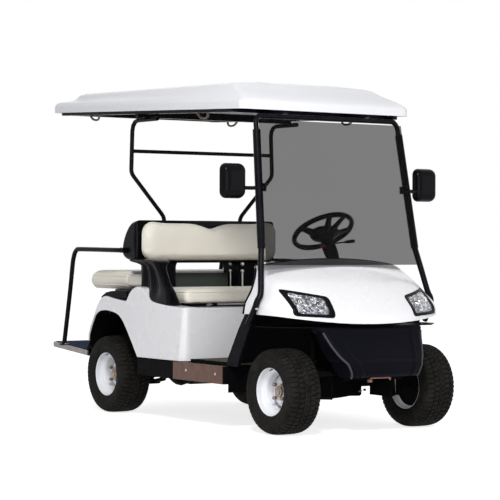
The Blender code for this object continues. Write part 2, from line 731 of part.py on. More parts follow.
def make_steering_column():
    centre = Vector(STEERING_CENTRE)
    axis = STEERING_AXIS
    top = centre - axis * COLUMN_TOP_DROP
    bottom = centre - axis * (COLUMN_TOP_DROP + COLUMN_LENGTH)
    shroud = centre - axis * (COLUMN_TOP_DROP + COLUMN_SHROUD_LENGTH)
    stalk = centre - axis * LEVER_DROP
    pieces = [
        rod(bottom, top, COLUMN_RADIUS * COLUMN_TUBE_SHARE, 14),
        cone(shroud, top, [COLUMN_RADIUS * s for s in SHROUD_SHARES], 14),
        rod(stalk, stalk + Vector((LEVER_LENGTH, 0, LEVER_LENGTH * LEVER_RISE_SHARE)), LEVER_RADIUS, 8),
    ]
    bore = rod(bottom - axis * OVERRUN, top + axis * OVERRUN, COLUMN_BORE_RADIUS, 12)
    reach = COLUMN_LENGTH
    wall = [
        (toe_y(FLOOR_HEIGHT) + 2 * GAP, FLOOR_HEIGHT),
        (toe_y(TOE_HEAD_Z) + 2 * GAP, TOE_HEAD_Z),
        (toe_y(TOE_HEAD_Z) - reach, TOE_HEAD_Z),
        (toe_y(FLOOR_HEIGHT) - reach, FLOOR_HEIGHT),
    ]
    trim = prism(wall, "X", centre.x - COLUMN_RADIUS * 2, centre.x + COLUMN_RADIUS * 2)
    return node("steering_column", pieces, "moulded_black", [bore, trim])


COLUMN_SHROUD_LENGTH = 0.150
COLUMN_TUBE_SHARE = 0.75
SHROUD_SHARES = (0.8, 1.25, 1.3, 1.1)
LEVER_RISE_SHARE = 0.1

# Wheels
RIM_SEAT_RADIUS = 0.127
RIM_FLANGE_RADIUS = 0.140
RIM_WELL_RADIUS = 0.104
RIM_WALL = 0.004
RIM_DISC_INSET = 0.030
RIM_DISC_THICKNESS = 0.006
HUB_RADIUS = 0.034
HUB_BORE_RADIUS = 0.0135
HUB_INNER_LENGTH = 0.020
HUB_OUTER_LENGTH = 0.045
TYRE_WALL = 0.012
TYRE_SIDES = 24
# Half of the tyre's section from bead to crown: share of the half width, and of the way from seat to tread
TYRE_OUTER_SHARES = ((0.835, 0.0), (0.835, 0.14), (0.985, 0.36), (0.99, 0.60), (0.88, 0.90), (0.45, 1.0))
TYRE_INNER_SHARES = ((0.87, 0.45), (0.70, 0.84))
WHEELS = (
    ("fl", 1, FRONT_TRACK, FRONT_AXLE_Y),
    ("fr", -1, FRONT_TRACK, FRONT_AXLE_Y),
    ("rl", 1, REAR_TRACK, REAR_AXLE_Y),
    ("rr", -1, REAR_TRACK, REAR_AXLE_Y),
)


def tyre_profile():
    """The tyre's section, open towards the rim: along the axle, and radius."""
    seat = RIM_SEAT_RADIUS + GAP
    crown = TYRE_RADIUS / math.cos(math.pi / TYRE_SIDES)
    height = crown - seat

    def placed(shares):
        return [(along * TYRE_WIDTH / 2, seat + rise * height) for along, rise in shares]

    outer, inner = placed(TYRE_OUTER_SHARES), placed(TYRE_INNER_SHARES)
    bead = (outer[0][0] - TYRE_WALL, seat)
    outer_loop = outer + [(-along, radius) for along, radius in outer[::-1]]
    inner_loop = [bead] + inner
    inner_loop = [(-along, radius) for along, radius in inner_loop] + inner_loop[::-1]
    return outer_loop + inner_loop


def make_tyre(label, side, track, axle_y):
    centre = (side * track / 2, axle_y, TYRE_RADIUS)
    ring = turned(tyre_profile(), centre, (1, 0, 0), TYRE_SIDES, math.pi / TYRE_SIDES)
    return node(f"tyre_{label}", [ring], "rubber", origin=centre, smooth_degrees=50)


def make_rim(label, side, track, axle_y):
    """A deep-dish rim: barrel, flanges and well outside, and a disc and hub set towards the inner side."""
    centre = Vector((side * track / 2, axle_y, TYRE_RADIUS))
    half = RIM_WIDTH / 2
    well, step = half * RIM_WELL_SHARE, half * RIM_STEP_SHARE
    seat = RIM_SEAT_RADIUS
    outer = [
        (half, RIM_FLANGE_RADIUS),
        (half - RIM_WALL, RIM_FLANGE_RADIUS),
        (half - RIM_WALL, seat),
        (step, seat),
        (well, RIM_WELL_RADIUS),
    ]
    inner = [(well, RIM_WELL_RADIUS - RIM_WALL), (step, seat - RIM_WALL), (half, seat - RIM_WALL)]
    section = outer + [(-along, radius) for along, radius in outer[::-1]]
    section += [(-along, radius) for along, radius in inner[::-1]] + inner
    section = [(side * along, radius) for along, radius in section]
    ring = turned(section, centre, (1, 0, 0), TYRE_SIDES, math.pi / TYRE_SIDES)
    disc = centre - Vector((side * RIM_DISC_INSET, 0, 0))
    out = Vector((side, 0, 0))
    pieces = [
        ring,
        rod(
            disc - out * RIM_DISC_THICKNESS / 2,
            disc + out * RIM_DISC_THICKNESS / 2,
            RIM_WELL_RADIUS - RIM_WALL / 2,
            TYRE_SIDES,
        ),
        rod(disc - out * HUB_INNER_LENGTH, disc + out * HUB_OUTER_LENGTH, HUB_RADIUS, 16),
    ]
    bore_end = disc + out * (HUB_OUTER_LENGTH - HUB_CAP)
    bore = rod(disc - out * (HUB_INNER_LENGTH + OVERRUN), bore_end, HUB_BORE_RADIUS, 12)
    return node(f"rim_{label}", pieces, "wheel_white", [bore], origin=centre, smooth_degrees=40)


RIM_STEP_SHARE = 0.62
RIM_WELL_SHARE = 0.40
HUB_CAP = 0.010

# Floor, toe board and the black moulding round the front wheels
FLOOR_HALF_WIDTH = 0.555
FLOOR_THICKNESS = FLOOR_HEIGHT - FRAME_TOP_Z - GAP
FLOOR_REAR_Y = -0.262
TOE_FOOT_Y = -0.655
TOE_HEAD_Y = -0.832
TOE_HEAD_Z = 0.640
LINER_WALL = 0.005
SIDE_PANEL_INNER_X = 0.560
SIDE_PANEL_OUTER_X = 0.580
LIP_Z = 0.590
# Side panel under the cowl, as shares of its length and height from the doorway's foot at the back
SIDE_PANEL_LENGTH = 0.278
SIDE_PANEL_BOTTOM_Z = FRAME_TOP_Z + 0.005
SIDE_PANEL_REAR_Y = -0.665
SIDE_PANEL_SHARES = (
    (0.0, 0.0), (-0.06, 0.152), (-0.41, 0.69), (-0.65, 1.0),
    (-1.0, 1.0), (-0.77, 0.69), (-0.45, 0.152), (-0.396, 0.0),
)
GUARD_INNER_X = 0.240
GUARD_BOTTOM_Z = 0.205
GUARD_Y = -0.684
GUARD_TOP_Z = 0.3583
LINER_FRONT_Y = -1.180
LINER_TOP_HALF_WIDTH = 0.530
LINER_TOP_Z = 0.572


def make_floor():
    """The floor with its mat, and the toe board that slopes up behind the front wheels."""
    top = FLOOR_HEIGHT
    outline = [
        (FLOOR_REAR_Y, top - FLOOR_THICKNESS),
        (FLOOR_REAR_Y, top),
        (TOE_FOOT_Y, top),
        (TOE_HEAD_Y, TOE_HEAD_Z),
        (TOE_HEAD_Y - FLOOR_THICKNESS, TOE_HEAD_Z),
        (TOE_FOOT_Y - FLOOR_THICKNESS, top - FLOOR_THICKNESS),
    ]
    return node("floor_pan", [prism(outline, "X", -FLOOR_HALF_WIDTH, FLOOR_HALF_WIDTH)], "floor_mat")


def make_front_liner():
    """The black moulding: side panels by the doorways, guards behind the wheels, a shelf under the cowl."""
    origin = (SIDE_PANEL_REAR_Y, SIDE_PANEL_BOTTOM_Z)
    height = COWL_SIDE_LIP_Z - LIP_FIT - SIDE_PANEL_BOTTOM_Z
    outline = spread(SIDE_PANEL_SHARES, origin, (SIDE_PANEL_LENGTH, height))
    shelf_rear = TOE_HEAD_Y - FLOOR_THICKNESS - GAP
    pieces = [
        block(
            (-SIDE_PANEL_INNER_X - LINER_WALL, LINER_FRONT_Y, LINER_TOP_Z),
            (SIDE_PANEL_INNER_X + LINER_WALL, shelf_rear - GAP, LINER_TOP_Z + LINER_WALL),
        ),
    ]
    corner = (SIDE_PANEL_INNER_X + LINER_WALL, LINER_FRONT_Y)
    trim = (LINER_CORNER_CUT, LINER_CORNER_CUT)
    cuts = []
    for _, side in SIDES:
        low, high = sorted((side * SIDE_PANEL_INNER_X, side * SIDE_PANEL_OUTER_X))
        pieces.append(prism(outline, "X", low, high))
        low, high = sorted((side * GUARD_INNER_X, side * SIDE_PANEL_OUTER_X))
        guard = [
            (GUARD_Y, GUARD_BOTTOM_Z),
            (GUARD_Y, GUARD_TOP_Z),
            (GUARD_Y - LINER_WALL, GUARD_TOP_Z),
            (GUARD_Y - LINER_WALL, GUARD_BOTTOM_Z),
        ]
        pieces.append(prism(guard, "X", low, high))
        cuts.append(
            prism(
                [
                    (side * (corner[0] - trim[0]), corner[1] - OVERRUN),
                    (side * (corner[0] + OVERRUN), corner[1] - OVERRUN),
                    (side * (corner[0] + OVERRUN), corner[1] + trim[1]),
                ],
                "Z",
                LINER_TOP_Z - OVERRUN,
                LINER_TOP_Z + OVERRUN,
            )
        )
    return node("front_liner", pieces, "moulded_black", cuts)


LINER_CORNER_CUT = 0.150
LIP_FIT = 0.0009

# Front cowl: hoops round the nose, from the lip up to the dash edge
COWL_WALL = 0.005
COWL_POWER = 2.6
COWL_STEPS = 6
COWL_SHOULDER_Y = -0.920
COWL_LIP_FRONT_Y = -1.262
COWL_DASH_Y = -0.830
COWL_HALF_WIDTH = 0.583
COWL_DASH_Z = 0.930
COWL_CROWN_SHARE = 0.7
# Each hoop: share of the way back from the lip to the dash edge at the middle, share of the half width,
# place of the hoop's rear end, share of the cowl's height at the middle and at the sides
COWL_DEPTH = COWL_DASH_Y - COWL_LIP_FRONT_Y
COWL_RISE = COWL_DASH_Z - LIP_Z
COWL_HOOP_SHARES = (
    (0.000, 1.000, 0.985, 0.000, 0.147),
    (0.042, 0.990, 0.963, 0.190, 0.323),
    (0.205, 0.954, 0.912, 0.426, 0.500),
    (0.410, 0.926, 0.847, 0.640, 0.662),
    (0.641, 0.892, 0.826, 0.838, 0.788),
    (0.826, 0.849, 0.884, 0.950, 0.853),
    (1.000, 0.803, 0.970, 1.000, 0.891),
)


def cowl_hoop(row, inset):
    """One hoop round the nose, moved inwards and down by inset."""
    back, width, rear, middle_rise, side_rise = row
    front_y = COWL_LIP_FRONT_Y + back * COWL_DEPTH + inset
    half = width * COWL_HALF_WIDTH - inset
    rear_y = COWL_LIP_FRONT_Y + rear * COWL_DEPTH
    shoulder_y = COWL_SHOULDER_Y if back < COWL_CROWN_SHARE else rear_y - MM
    middle_z = LIP_Z + middle_rise * COWL_RISE
    side_z = LIP_Z + side_rise * COWL_RISE
    reach = shoulder_y - front_y
    half_hoop = [(half, rear_y)]
    for i in range(COWL_STEPS + 1):
        angle = math.pi / 2 * i / COWL_STEPS
        x = half * math.cos(angle) ** (2 / COWL_POWER)
        y = shoulder_y - reach * math.sin(angle) ** (2 / COWL_POWER)
        half_hoop.append((x, y))
    half_hoop[-1] = (0, half_hoop[-1][1])
    points = half_hoop + [(-x, y) for x, y in half_hoop[-2::-1]]
    drop = inset * back ** (1 / COWL_POWER) if back else 0
    return [(x, y, middle_z + (side_z - middle_z) * (x / half) ** 2 - drop) for x, y in points]


COWL_SIDE_LIP_Z = LIP_Z + COWL_HOOP_SHARES[0][4] * COWL_RISE
LAMP_INNER_X = 0.262
LAMP_LENGTH = 0.214
LAMP_BOTTOM_Z = 0.625
LAMP_HEIGHT = 0.150
LAMP_SHARES = ((0.042, 0.0), (1.0, 0.113), (0.977, 1.0), (0.0, 0.673))
LAMP_FIT = 0.0010
LAMP_PROUD = 0.003
LAMP_DEPTH = 0.050
LAMP_CORNER = 0.012
LAMP_REAR_Y = -0.990


def lamp_prism(side, shrink):
    """The lamp's outline pushed back through the nose."""
    origin = (LAMP_INNER_X + shrink, LAMP_BOTTOM_Z + shrink)
    outline = spread(LAMP_SHARES, origin, (LAMP_LENGTH - 2 * shrink, LAMP_HEIGHT - 2 * shrink))
    front = COWL_LIP_FRONT_Y - OVERRUN
    piece = prism([(side * x, z) for x, z in outline], "Y", front, LAMP_REAR_Y)
    return settle(rounded(piece, LAMP_CORNER, 2, limit_degrees=50))


def nose_block(inset):
    """The nose filled solid, its skin moved in by inset, or out where inset is negative."""
    return loft([cowl_hoop(row, inset) for row in COWL_HOOP_SHARES])


def make_cowl():
    outer = [cowl_hoop(row, 0) for row in COWL_HOOP_SHARES]
    inner = [cowl_hoop(row, COWL_WALL) for row in COWL_HOOP_SHARES]
    cuts = [lamp_prism(side, 0) for _, side in SIDES]
    return node("front_cowl", [shell(outer, inner, wraps=False)], "body_white", cuts)


def make_headlamp(label, side):
    piece = lamp_prism(side, LAMP_FIT)
    behind, proud = nose_block(LAMP_DEPTH), nose_block(-LAMP_PROUD)
    return node(f"headlamp_{label}", [piece], "lamp_lens", [behind], [proud])


# Front bumper: a hollow wedge that leans forwards and narrows downwards
BUMPER_WALL = 0.006
BUMPER_EDGE_SHARE = 0.8
BUMPER_TOP_Z = LINER_TOP_Z - GAP
BUMPER_BOTTOM_Z = 0.308
BUMPER_HALF_WIDTH = 0.365
BUMPER_DEPTH = 0.220
# Each level: share of the height, of the half width in front and behind, of the depth in front and behind
BUMPER_LEVEL_SHARES = (
    (1.00, 0.91, 1.00, 0.610, 1.00),
    (0.86, 0.88, 0.98, 0.560, 1.00),
    (0.50, 0.76, 0.86, 0.260, 0.86),
    (0.30, 0.66, 0.77, 0.000, 0.74),
    (0.12, 0.62, 0.72, 0.000, 0.65),
    (0.00, 0.60, 0.69, 0.060, 0.62),
)


def bumper_ring(row, inset):
    level, front_width, rear_width, front, rear = row
    z = BUMPER_BOTTOM_Z + level * (BUMPER_TOP_Z - BUMPER_BOTTOM_Z)
    front_half = front_width * BUMPER_HALF_WIDTH - inset
    rear_half = rear_width * BUMPER_HALF_WIDTH - inset
    front_y = FRONT_Y + front * BUMPER_DEPTH + inset
    rear_y = FRONT_Y + rear * BUMPER_DEPTH + (OVERRUN if inset else 0)
    corners = ((front_half, front_y), (-front_half, front_y), (-rear_half, rear_y), (rear_half, rear_y))
    return [(x, y, z) for x, y in corners]


def make_bumper():
    outer = loft([bumper_ring(row, 0) for row in BUMPER_LEVEL_SHARES])
    hollow = loft([bumper_ring(row, BUMPER_WALL) for row in BUMPER_LEVEL_SHARES[1:-1]])
    skin = rounded(outer, BUMPER_WALL * BUMPER_EDGE_SHARE, 1)
    return node("front_bumper", [skin], "moulded_black", [hollow])


# Dashboard: a moulding under the cowl's rear edge, with two open bins
DASH_HALF_WIDTH = 0.455
DASH_DEPTH = 0.100
DASH_FRONT_Y = -0.862
DASH_STATIONS = 8
DASH_CLEARANCE = 0.002
DASH_SHARES = (
    (0.0, 0.0), (0.0, 0.93), (0.35, 1.0), (0.88, 0.97), (1.0, 0.88), (0.82, 0.62), (0.62, 0.12), (0.52, 0.0),
)
BIN_INNER_X = 0.070
BIN_OUTER_X = 0.400
BIN_BOTTOM_SHARE = 0.16
BIN_TOP_SHARE = 0.62
BIN_FRONT_Y = -0.852


def make_dashboard():
    bottom_z = TOE_HEAD_Z + GAP
    edge = COWL_HOOP_SHARES[-1]
    rings = []
    for i in range(DASH_STATIONS + 1):
        x = DASH_HALF_WIDTH * (2 * i / DASH_STATIONS - 1)
        fall = (x / (edge[1] * COWL_HALF_WIDTH)) ** 2
        top_z = LIP_Z + (edge[3] + (edge[4] - edge[3]) * fall) * COWL_RISE - COWL_WALL - DASH_CLEARANCE
        outline = spread(DASH_SHARES, (DASH_FRONT_Y, bottom_z), (DASH_DEPTH, top_z - bottom_z))
        rings.append([(x, y, z) for y, z in outline])
    cuts = []
    height = COWL_DASH_Z - bottom_z
    for _, side in SIDES:
        low, high = sorted((side * BIN_INNER_X, side * BIN_OUTER_X))
        cuts.append(
            block(
                (low, BIN_FRONT_Y, bottom_z + BIN_BOTTOM_SHARE * height),
                (high, DASH_FRONT_Y + DASH_DEPTH + OVERRUN, bottom_z + BIN_TOP_SHARE * height),
            )
        )
    return node("dashboard", [loft(rings)], "moulded_black", cuts)


# Rear body: one white moulding from the front panel under the seat to the tail, open below
BODY_WALL = 0.006
BODY_FRONT_Y = -0.250
BODY_LENGTH = 1.085
BODY_BOTTOM_Z = 0.350
BODY_BELOW_SEAT = 0.018
BODY_RISE = SEAT_HEIGHT - BODY_BELOW_SEAT - BODY_BOTTOM_Z
BODY_TOP_SHARES = (
    (0.0, 0.785), (0.18, 0.82), (0.28, 0.884), (0.363, 0.952), (0.426, 1.0), (0.50, 0.987),
    (0.552, 0.909), (0.584, 0.796), (0.671, 0.811), (0.747, 0.851), (0.803, 0.907), (0.858, 0.844),
    (0.925, 0.73), (0.97, 0.574), (1.0, 0.46),
)
ARCH_RADIUS = 0.372
ARCH_SIDES = 28
ARCH_INNER_X = 0.385
BODY_EDGE_RADIUS = 0.018
BODY_TAIL_FROM = 11
CUSHION_HEIGHT = 0.110
SEAT_WELL_Z = SEAT_HEIGHT - CUSHION_HEIGHT
SEAT_SIDE_ROOM = 0.014
SEAT_WELL_HALF_WIDTH = SEAT_HALF_WIDTH + SEAT_SIDE_ROOM
SEAT_WELL_REAR_Y = 0.385
DECK_BELOW_SEAT = 0.070
DECK_WELL_Z = SEAT_HEIGHT - DECK_BELOW_SEAT
BATTERY_BAY_LEDGE = 0.030
DECK_WELL_REAR_Y = 0.800


def make_rear_body():
    outline = [(BODY_FRONT_Y, BODY_BOTTOM_Z)]
    outline += spread(BODY_TOP_SHARES, (BODY_FRONT_Y, BODY_BOTTOM_Z), (BODY_LENGTH, BODY_RISE))
    rear_y = BODY_FRONT_Y + BODY_LENGTH
    outline += [(rear_y, BODY_BOTTOM_Z)]
    half = BODY_HALF_WIDTH
    outer = rounded(prism(outline, "X", -half, half), BODY_EDGE_RADIUS, 2, limit_degrees=60)
    well = SEAT_WELL_HALF_WIDTH
    top_z = BODY_BOTTOM_Z + BODY_RISE + OVERRUN
    under = BODY_BOTTOM_Z - OVERRUN
    lining = spread(
        BODY_TOP_SHARES,
        (BODY_FRONT_Y + BODY_WALL, BODY_BOTTOM_Z - BODY_WALL),
        (BODY_LENGTH - 2 * BODY_WALL, BODY_RISE),
    )
    tail = lining[BODY_TAIL_FROM:]
    hollow = [
        (BODY_FRONT_Y + BODY_WALL, under),
        (BODY_FRONT_Y + BODY_WALL, SEAT_WELL_Z - BODY_WALL),
        (SEAT_WELL_REAR_Y + BODY_WALL, SEAT_WELL_Z - BODY_WALL),
        (SEAT_WELL_REAR_Y + BODY_WALL, DECK_WELL_Z - BODY_WALL),
        (tail[0][0] - BODY_WALL, DECK_WELL_Z - BODY_WALL),
    ]
    hollow += tail + [(tail[-1][0], under)]
    wells = [
        (BODY_FRONT_Y - OVERRUN, SEAT_WELL_Z),
        (SEAT_WELL_REAR_Y, SEAT_WELL_Z),
        (SEAT_WELL_REAR_Y, DECK_WELL_Z),
        (rear_y + OVERRUN, DECK_WELL_Z),
        (rear_y + OVERRUN, top_z),
        (BODY_FRONT_Y - OVERRUN, top_z),
    ]
    cuts = [
        prism(hollow, "X", -well - 2 * BODY_WALL, well + 2 * BODY_WALL),
        prism(wells, "X", -well, well),
    ]
    bay_half = SEAT_HALF_WIDTH - CUSHION_CORNER - BATTERY_BAY_LEDGE
    bay_front_y = SEAT_HINGE_Y + SEAT_BASE_THICKNESS + BATTERY_BAY_LEDGE
    bay_rear_y = SEAT_REAR_Y - CUSHION_CORNER - BATTERY_BAY_LEDGE
    cuts.append(
        block((-bay_half, bay_front_y, SEAT_WELL_Z - OVERRUN), (bay_half, bay_rear_y, SEAT_WELL_Z + OVERRUN))
    )
    fender = [(y + MM, z) for y, z in lining]
    fender = [(fender[0][0], under - OVERRUN)] + fender + [(fender[-1][0], under - OVERRUN)]
    for _, side in SIDES:
        low, high = sorted((side * (well + BODY_WALL), side * (half - BODY_WALL)))
        cuts.append(prism(fender, "X", low, high))
        arch_ends = [(side * x, REAR_AXLE_Y, TYRE_RADIUS) for x in (ARCH_INNER_X, half + OVERRUN)]
        cuts.append(rod(*arch_ends, ARCH_RADIUS, ARCH_SIDES))
    return node("rear_body", [outer], "body_white", cuts)


# Seats
SEAT_FRONT_Y = -0.100
SEAT_REAR_Y = 0.350
SEAT_BASE_THICKNESS = 0.014
CUSHION_CORNER = 0.030
SEAT_HINGE_Y = -0.112
SEAT_HINGE_RADIUS = 0.005
SEAT_HINGE_XS = (-0.300, 0.300)
SEAT_TAB_WIDTH = 0.030
SEAT_PIN_OVERHANG = 0.045
SEAT_TAB_THICKNESS = 0.005
SEAT_HINGE_Z = SEAT_WELL_Z + SEAT_HINGE_RADIUS + SEAT_TAB_THICKNESS + RUNNING_GAP
BACKREST_FRONT_Y = 0.362
BACKREST_ABOVE_SEAT = 0.139
BACKREST_HEIGHT = 0.242
BACKREST_BOTTOM_Z = SEAT_HEIGHT + BACKREST_ABOVE_SEAT
BACKREST_TOP_Z = BACKREST_BOTTOM_Z + BACKREST_HEIGHT
BACKREST_THICKNESS = 0.076
SHELL_DEPTH = 0.150
SHELL_LAP = 0.008
SHELL_HALF_WIDTH = SEAT_HALF_WIDTH + SHELL_LAP
SHELL_WALL = 0.006
SHELL_TOP_SHRINK_SHARE = 0.88
LOBE_DIP_DEPTH = 0.034
LOBE_DIP_HALF_WIDTH = 0.110
# The dip between the front backrest's two lobes: share of its half width, and share of its depth
LOBE_DIP_SHARES = ((-1.0, 0.0), (-0.55, 0.35), (-0.2, 0.92), (0.2, 0.92), (0.55, 0.35), (1.0, 0.0))
REAR_BACKREST_THICKNESS = 0.060
REAR_BACKREST_CORNER_SHARE = 0.45
REAR_BACKREST_INSET = 0.052
REAR_BACKREST_HALF_WIDTH = SEAT_HALF_WIDTH - REAR_BACKREST_INSET
REAR_SEAT_FRONT_Y = 0.560
REAR_SEAT_REAR_Y = 1.050
REAR_SEAT_BELOW = 0.029
REAR_CUSHION_HEIGHT = 0.104
REAR_SEAT_BOTTOM_Z = SEAT_HEIGHT - REAR_SEAT_BELOW
REAR_SEAT_TOP_Z = REAR_SEAT_BOTTOM_Z + REAR_CUSHION_HEIGHT
REAR_BOARD_THICKNESS = 0.020
REAR_PANEL_INSET = 0.050
REAR_PANEL_ROOM = 0.012
REAR_PANEL_THICKNESS = 0.014
REAR_PANEL_DROP = 0.006
DECK_THICKNESS = 0.0197
DECK_TOP_Z = DECK_WELL_Z + DECK_THICKNESS
PILLOW_END_SHARES = ((0.0, 0.80), (0.25, 0.94), (1.0, 1.0))
PILLOW_END = 0.045


def pillow(low, high, corner, dips=()):
    """A cushion's plain form: a rounded section along X, drawn in at both ends; a dip is (x, drop of top)."""
    half_y, half_z = (high[1] - low[1]) / 2, (high[2] - low[2]) / 2
    centre = ((high[1] + low[1]) / 2, (high[2] + low[2]) / 2)
    stations = [(low[0] + along * PILLOW_END, size, 0) for along, size in PILLOW_END_SHARES]
    stations += [(x, 1.0, drop) for x, drop in dips]
    stations += [(high[0] - along * PILLOW_END, size, 0) for along, size in PILLOW_END_SHARES[::-1]]
    rings = []
    for x, size, drop in stations:
        outline = rounded_box_outline(half_y * size, half_z * size - drop / 2, corner * size, 3)
        rings.append([(x, centre[0] + y, centre[1] - drop / 2 + z) for y, z in outline])
    return loft(rings)


def make_seat():
    base_z = SEAT_WELL_Z + RUNNING_GAP
    cushion_z = base_z + SEAT_BASE_THICKNESS + GAP
    half = SEAT_HALF_WIDTH
    pieces = [
        block(
            (-half + CUSHION_CORNER, SEAT_HINGE_Y + SEAT_BASE_THICKNESS, base_z),
            (half - CUSHION_CORNER, SEAT_REAR_Y - CUSHION_CORNER, base_z + SEAT_BASE_THICKNESS),
        )
    ]
    cuts = []
    for x in SEAT_HINGE_XS:
        hinge = Vector((x, SEAT_HINGE_Y, SEAT_HINGE_Z))
        width = Vector((SEAT_TAB_WIDTH / 2, 0, 0))
        pieces.append(
            block(
                (x - SEAT_TAB_WIDTH / 2, SEAT_HINGE_Y, base_z),
                (x + SEAT_TAB_WIDTH / 2, SEAT_HINGE_Y + 2 * SEAT_BASE_THICKNESS, base_z + SEAT_TAB_THICKNESS),
            )
        )
        pieces.append(rod(hinge - width, hinge + width, SEAT_HINGE_RADIUS + SEAT_TAB_THICKNESS, 12))
        cuts.append(rod(hinge - 2 * width, hinge + 2 * width, SEAT_HINGE_RADIUS + RUNNING_GAP, 12))
    node("seat_base", pieces, "chassis_black", cuts, origin=(0, SEAT_HINGE_Y, SEAT_HINGE_Z))
    cushion = pillow((-half, SEAT_FRONT_Y, cushion_z), (half, SEAT_REAR_Y, SEAT_HEIGHT), CUSHION_CORNER)
    node("seat_cushion", [cushion], "cream_vinyl", origin=(0, SEAT_HINGE_Y, SEAT_HINGE_Z))


def make_seat_hinges():
    """The pins under the seat's front edge, on the battery box's front wall."""
    span = SEAT_HINGE_XS[1] + SEAT_PIN_OVERHANG
    pin_ends = ((-span, SEAT_HINGE_Y, SEAT_HINGE_Z), (span, SEAT_HINGE_Y, SEAT_HINGE_Z))
    top_z = SEAT_HINGE_Z + SEAT_HINGE_RADIUS / 2
    pieces = [rod(*pin_ends, SEAT_HINGE_RADIUS, 12)]
    for x in (-span, 0, span):
        pieces.append(
            block(
                (x - SEAT_TAB_WIDTH / 3, SEAT_HINGE_Y - SEAT_HINGE_RADIUS, SEAT_WELL_Z + GAP),
                (x + SEAT_TAB_WIDTH / 3, SEAT_HINGE_Y + SEAT_HINGE_RADIUS, top_z),
            )
        )
    return node("seat_hinge_pin", pieces, "bare_metal")


def make_backrests():
    half = SEAT_HALF_WIDTH
    front = BACKREST_FRONT_Y
    shell_front = front + BACKREST_THICKNESS + GAP
    shell_rear = shell_front + SHELL_DEPTH
    dips = [(share * LOBE_DIP_HALF_WIDTH, depth * LOBE_DIP_DEPTH) for share, depth in LOBE_DIP_SHARES]
    pad_low = (-half, front, BACKREST_BOTTOM_Z)
    pad_high = (half, front + BACKREST_THICKNESS, BACKREST_TOP_Z)
    front_pad = pillow(pad_low, pad_high, CUSHION_CORNER, dips)
    node("front_backrest", [front_pad], "cream_vinyl")
    rear_low = (-REAR_BACKREST_HALF_WIDTH, shell_rear + GAP, BACKREST_BOTTOM_Z)
    rear_high = (REAR_BACKREST_HALF_WIDTH, shell_rear + GAP + REAR_BACKREST_THICKNESS, BACKREST_TOP_Z)
    rear_corner = REAR_BACKREST_THICKNESS * REAR_BACKREST_CORNER_SHARE
    node("rear_backrest", [pillow(rear_low, rear_high, rear_corner)], "cream_vinyl")
    shell_low = (-SHELL_HALF_WIDTH, shell_front, BACKREST_BOTTOM_Z)
    shell_high = (SHELL_HALF_WIDTH, shell_rear, BACKREST_TOP_Z)
    outer = pillow(shell_low, shell_high, CUSHION_CORNER)
    hollow = block(
        (-SHELL_HALF_WIDTH * SHELL_TOP_SHRINK_SHARE, shell_front + SHELL_WALL, BACKREST_BOTTOM_Z - OVERRUN),
        (SHELL_HALF_WIDTH * SHELL_TOP_SHRINK_SHARE, shell_rear - SHELL_WALL, BACKREST_TOP_Z - CUSHION_CORNER),
    )
    cuts = [hollow]
    for _, side in SIDES:
        x = side * STRUT_FOOT_X
        cuts.append(
            rod((x, STRUT_Y, BACKREST_TOP_Z - 2 * CUSHION_CORNER), (x, STRUT_Y, BACKREST_TOP_Z + OVERRUN),
                STRUT_RADIUS + RUNNING_GAP * 2, 12)
        )
    node("backrest_shell", [outer], "moulded_black", cuts)


def make_rear_seat():
    half = SEAT_HALF_WIDTH
    cushion_low = (-half, REAR_SEAT_FRONT_Y, REAR_SEAT_BOTTOM_Z)
    cushion_high = (half, REAR_SEAT_REAR_Y, REAR_SEAT_TOP_Z)
    cushion = pillow(cushion_low, cushion_high, CUSHION_CORNER)
    node("rear_cushion", [cushion], "cream_vinyl")
    inset = CUSHION_CORNER
    board = block(
        (-half + inset, REAR_SEAT_FRONT_Y + inset, DECK_TOP_Z + GAP),
        (half - inset, REAR_SEAT_REAR_Y - inset, REAR_SEAT_BOTTOM_Z - GAP),
    )
    panel_half = half - REAR_PANEL_INSET
    panel_rear_y = REAR_SEAT_FRONT_Y - REAR_PANEL_ROOM
    panel_front_y = panel_rear_y - REAR_PANEL_THICKNESS
    panel_top_z = REAR_SEAT_TOP_Z - REAR_PANEL_DROP
    panel = block((-panel_half, panel_front_y, DECK_TOP_Z + GAP), (panel_half, panel_rear_y, panel_top_z))
    sill = block(
        (-panel_half, panel_front_y, DECK_TOP_Z + GAP),
        (panel_half, REAR_SEAT_FRONT_Y + 2 * inset, REAR_SEAT_BOTTOM_Z - GAP),
    )
    node("rear_seat_board", [board, panel, sill], "moulded_black")
    deck = block(
        (-SEAT_WELL_HALF_WIDTH + GAP, SEAT_WELL_REAR_Y + GAP, DECK_WELL_Z + GAP),
        (SEAT_WELL_HALF_WIDTH - GAP, DECK_WELL_REAR_Y, DECK_TOP_Z),
    )
    node("rear_deck", [deck], "moulded_black")


# Hip brackets: moulded arches from the body's shoulders up to the backrest shell
HIP_SIDE_ROOM = 0.002
HIP_THICKNESS = 0.024
HIP_HEEL = 0.0475
HIP_FLANGE_WIDTH = 0.026
HIP_FLANGE_HEIGHT = 0.014
HIP_INNER_X = SEAT_WELL_HALF_WIDTH + HIP_SIDE_ROOM
HIP_OUTER_X = HIP_INNER_X + HIP_THICKNESS
HIP_TOP_Z = BACKREST_BOTTOM_Z - GAP
HIP_TONGUE_DEPTH = 0.020
HIP_BASE_POINTS = 5
HIP_FRONT_SHARES = ((0.16, 0.36), (0.36, 0.72), (0.60, 1.0))
HIP_WINDOW_SHARES = ((0.42, 0.40), (0.80, 0.40), (0.84, 0.80), (0.66, 0.80))


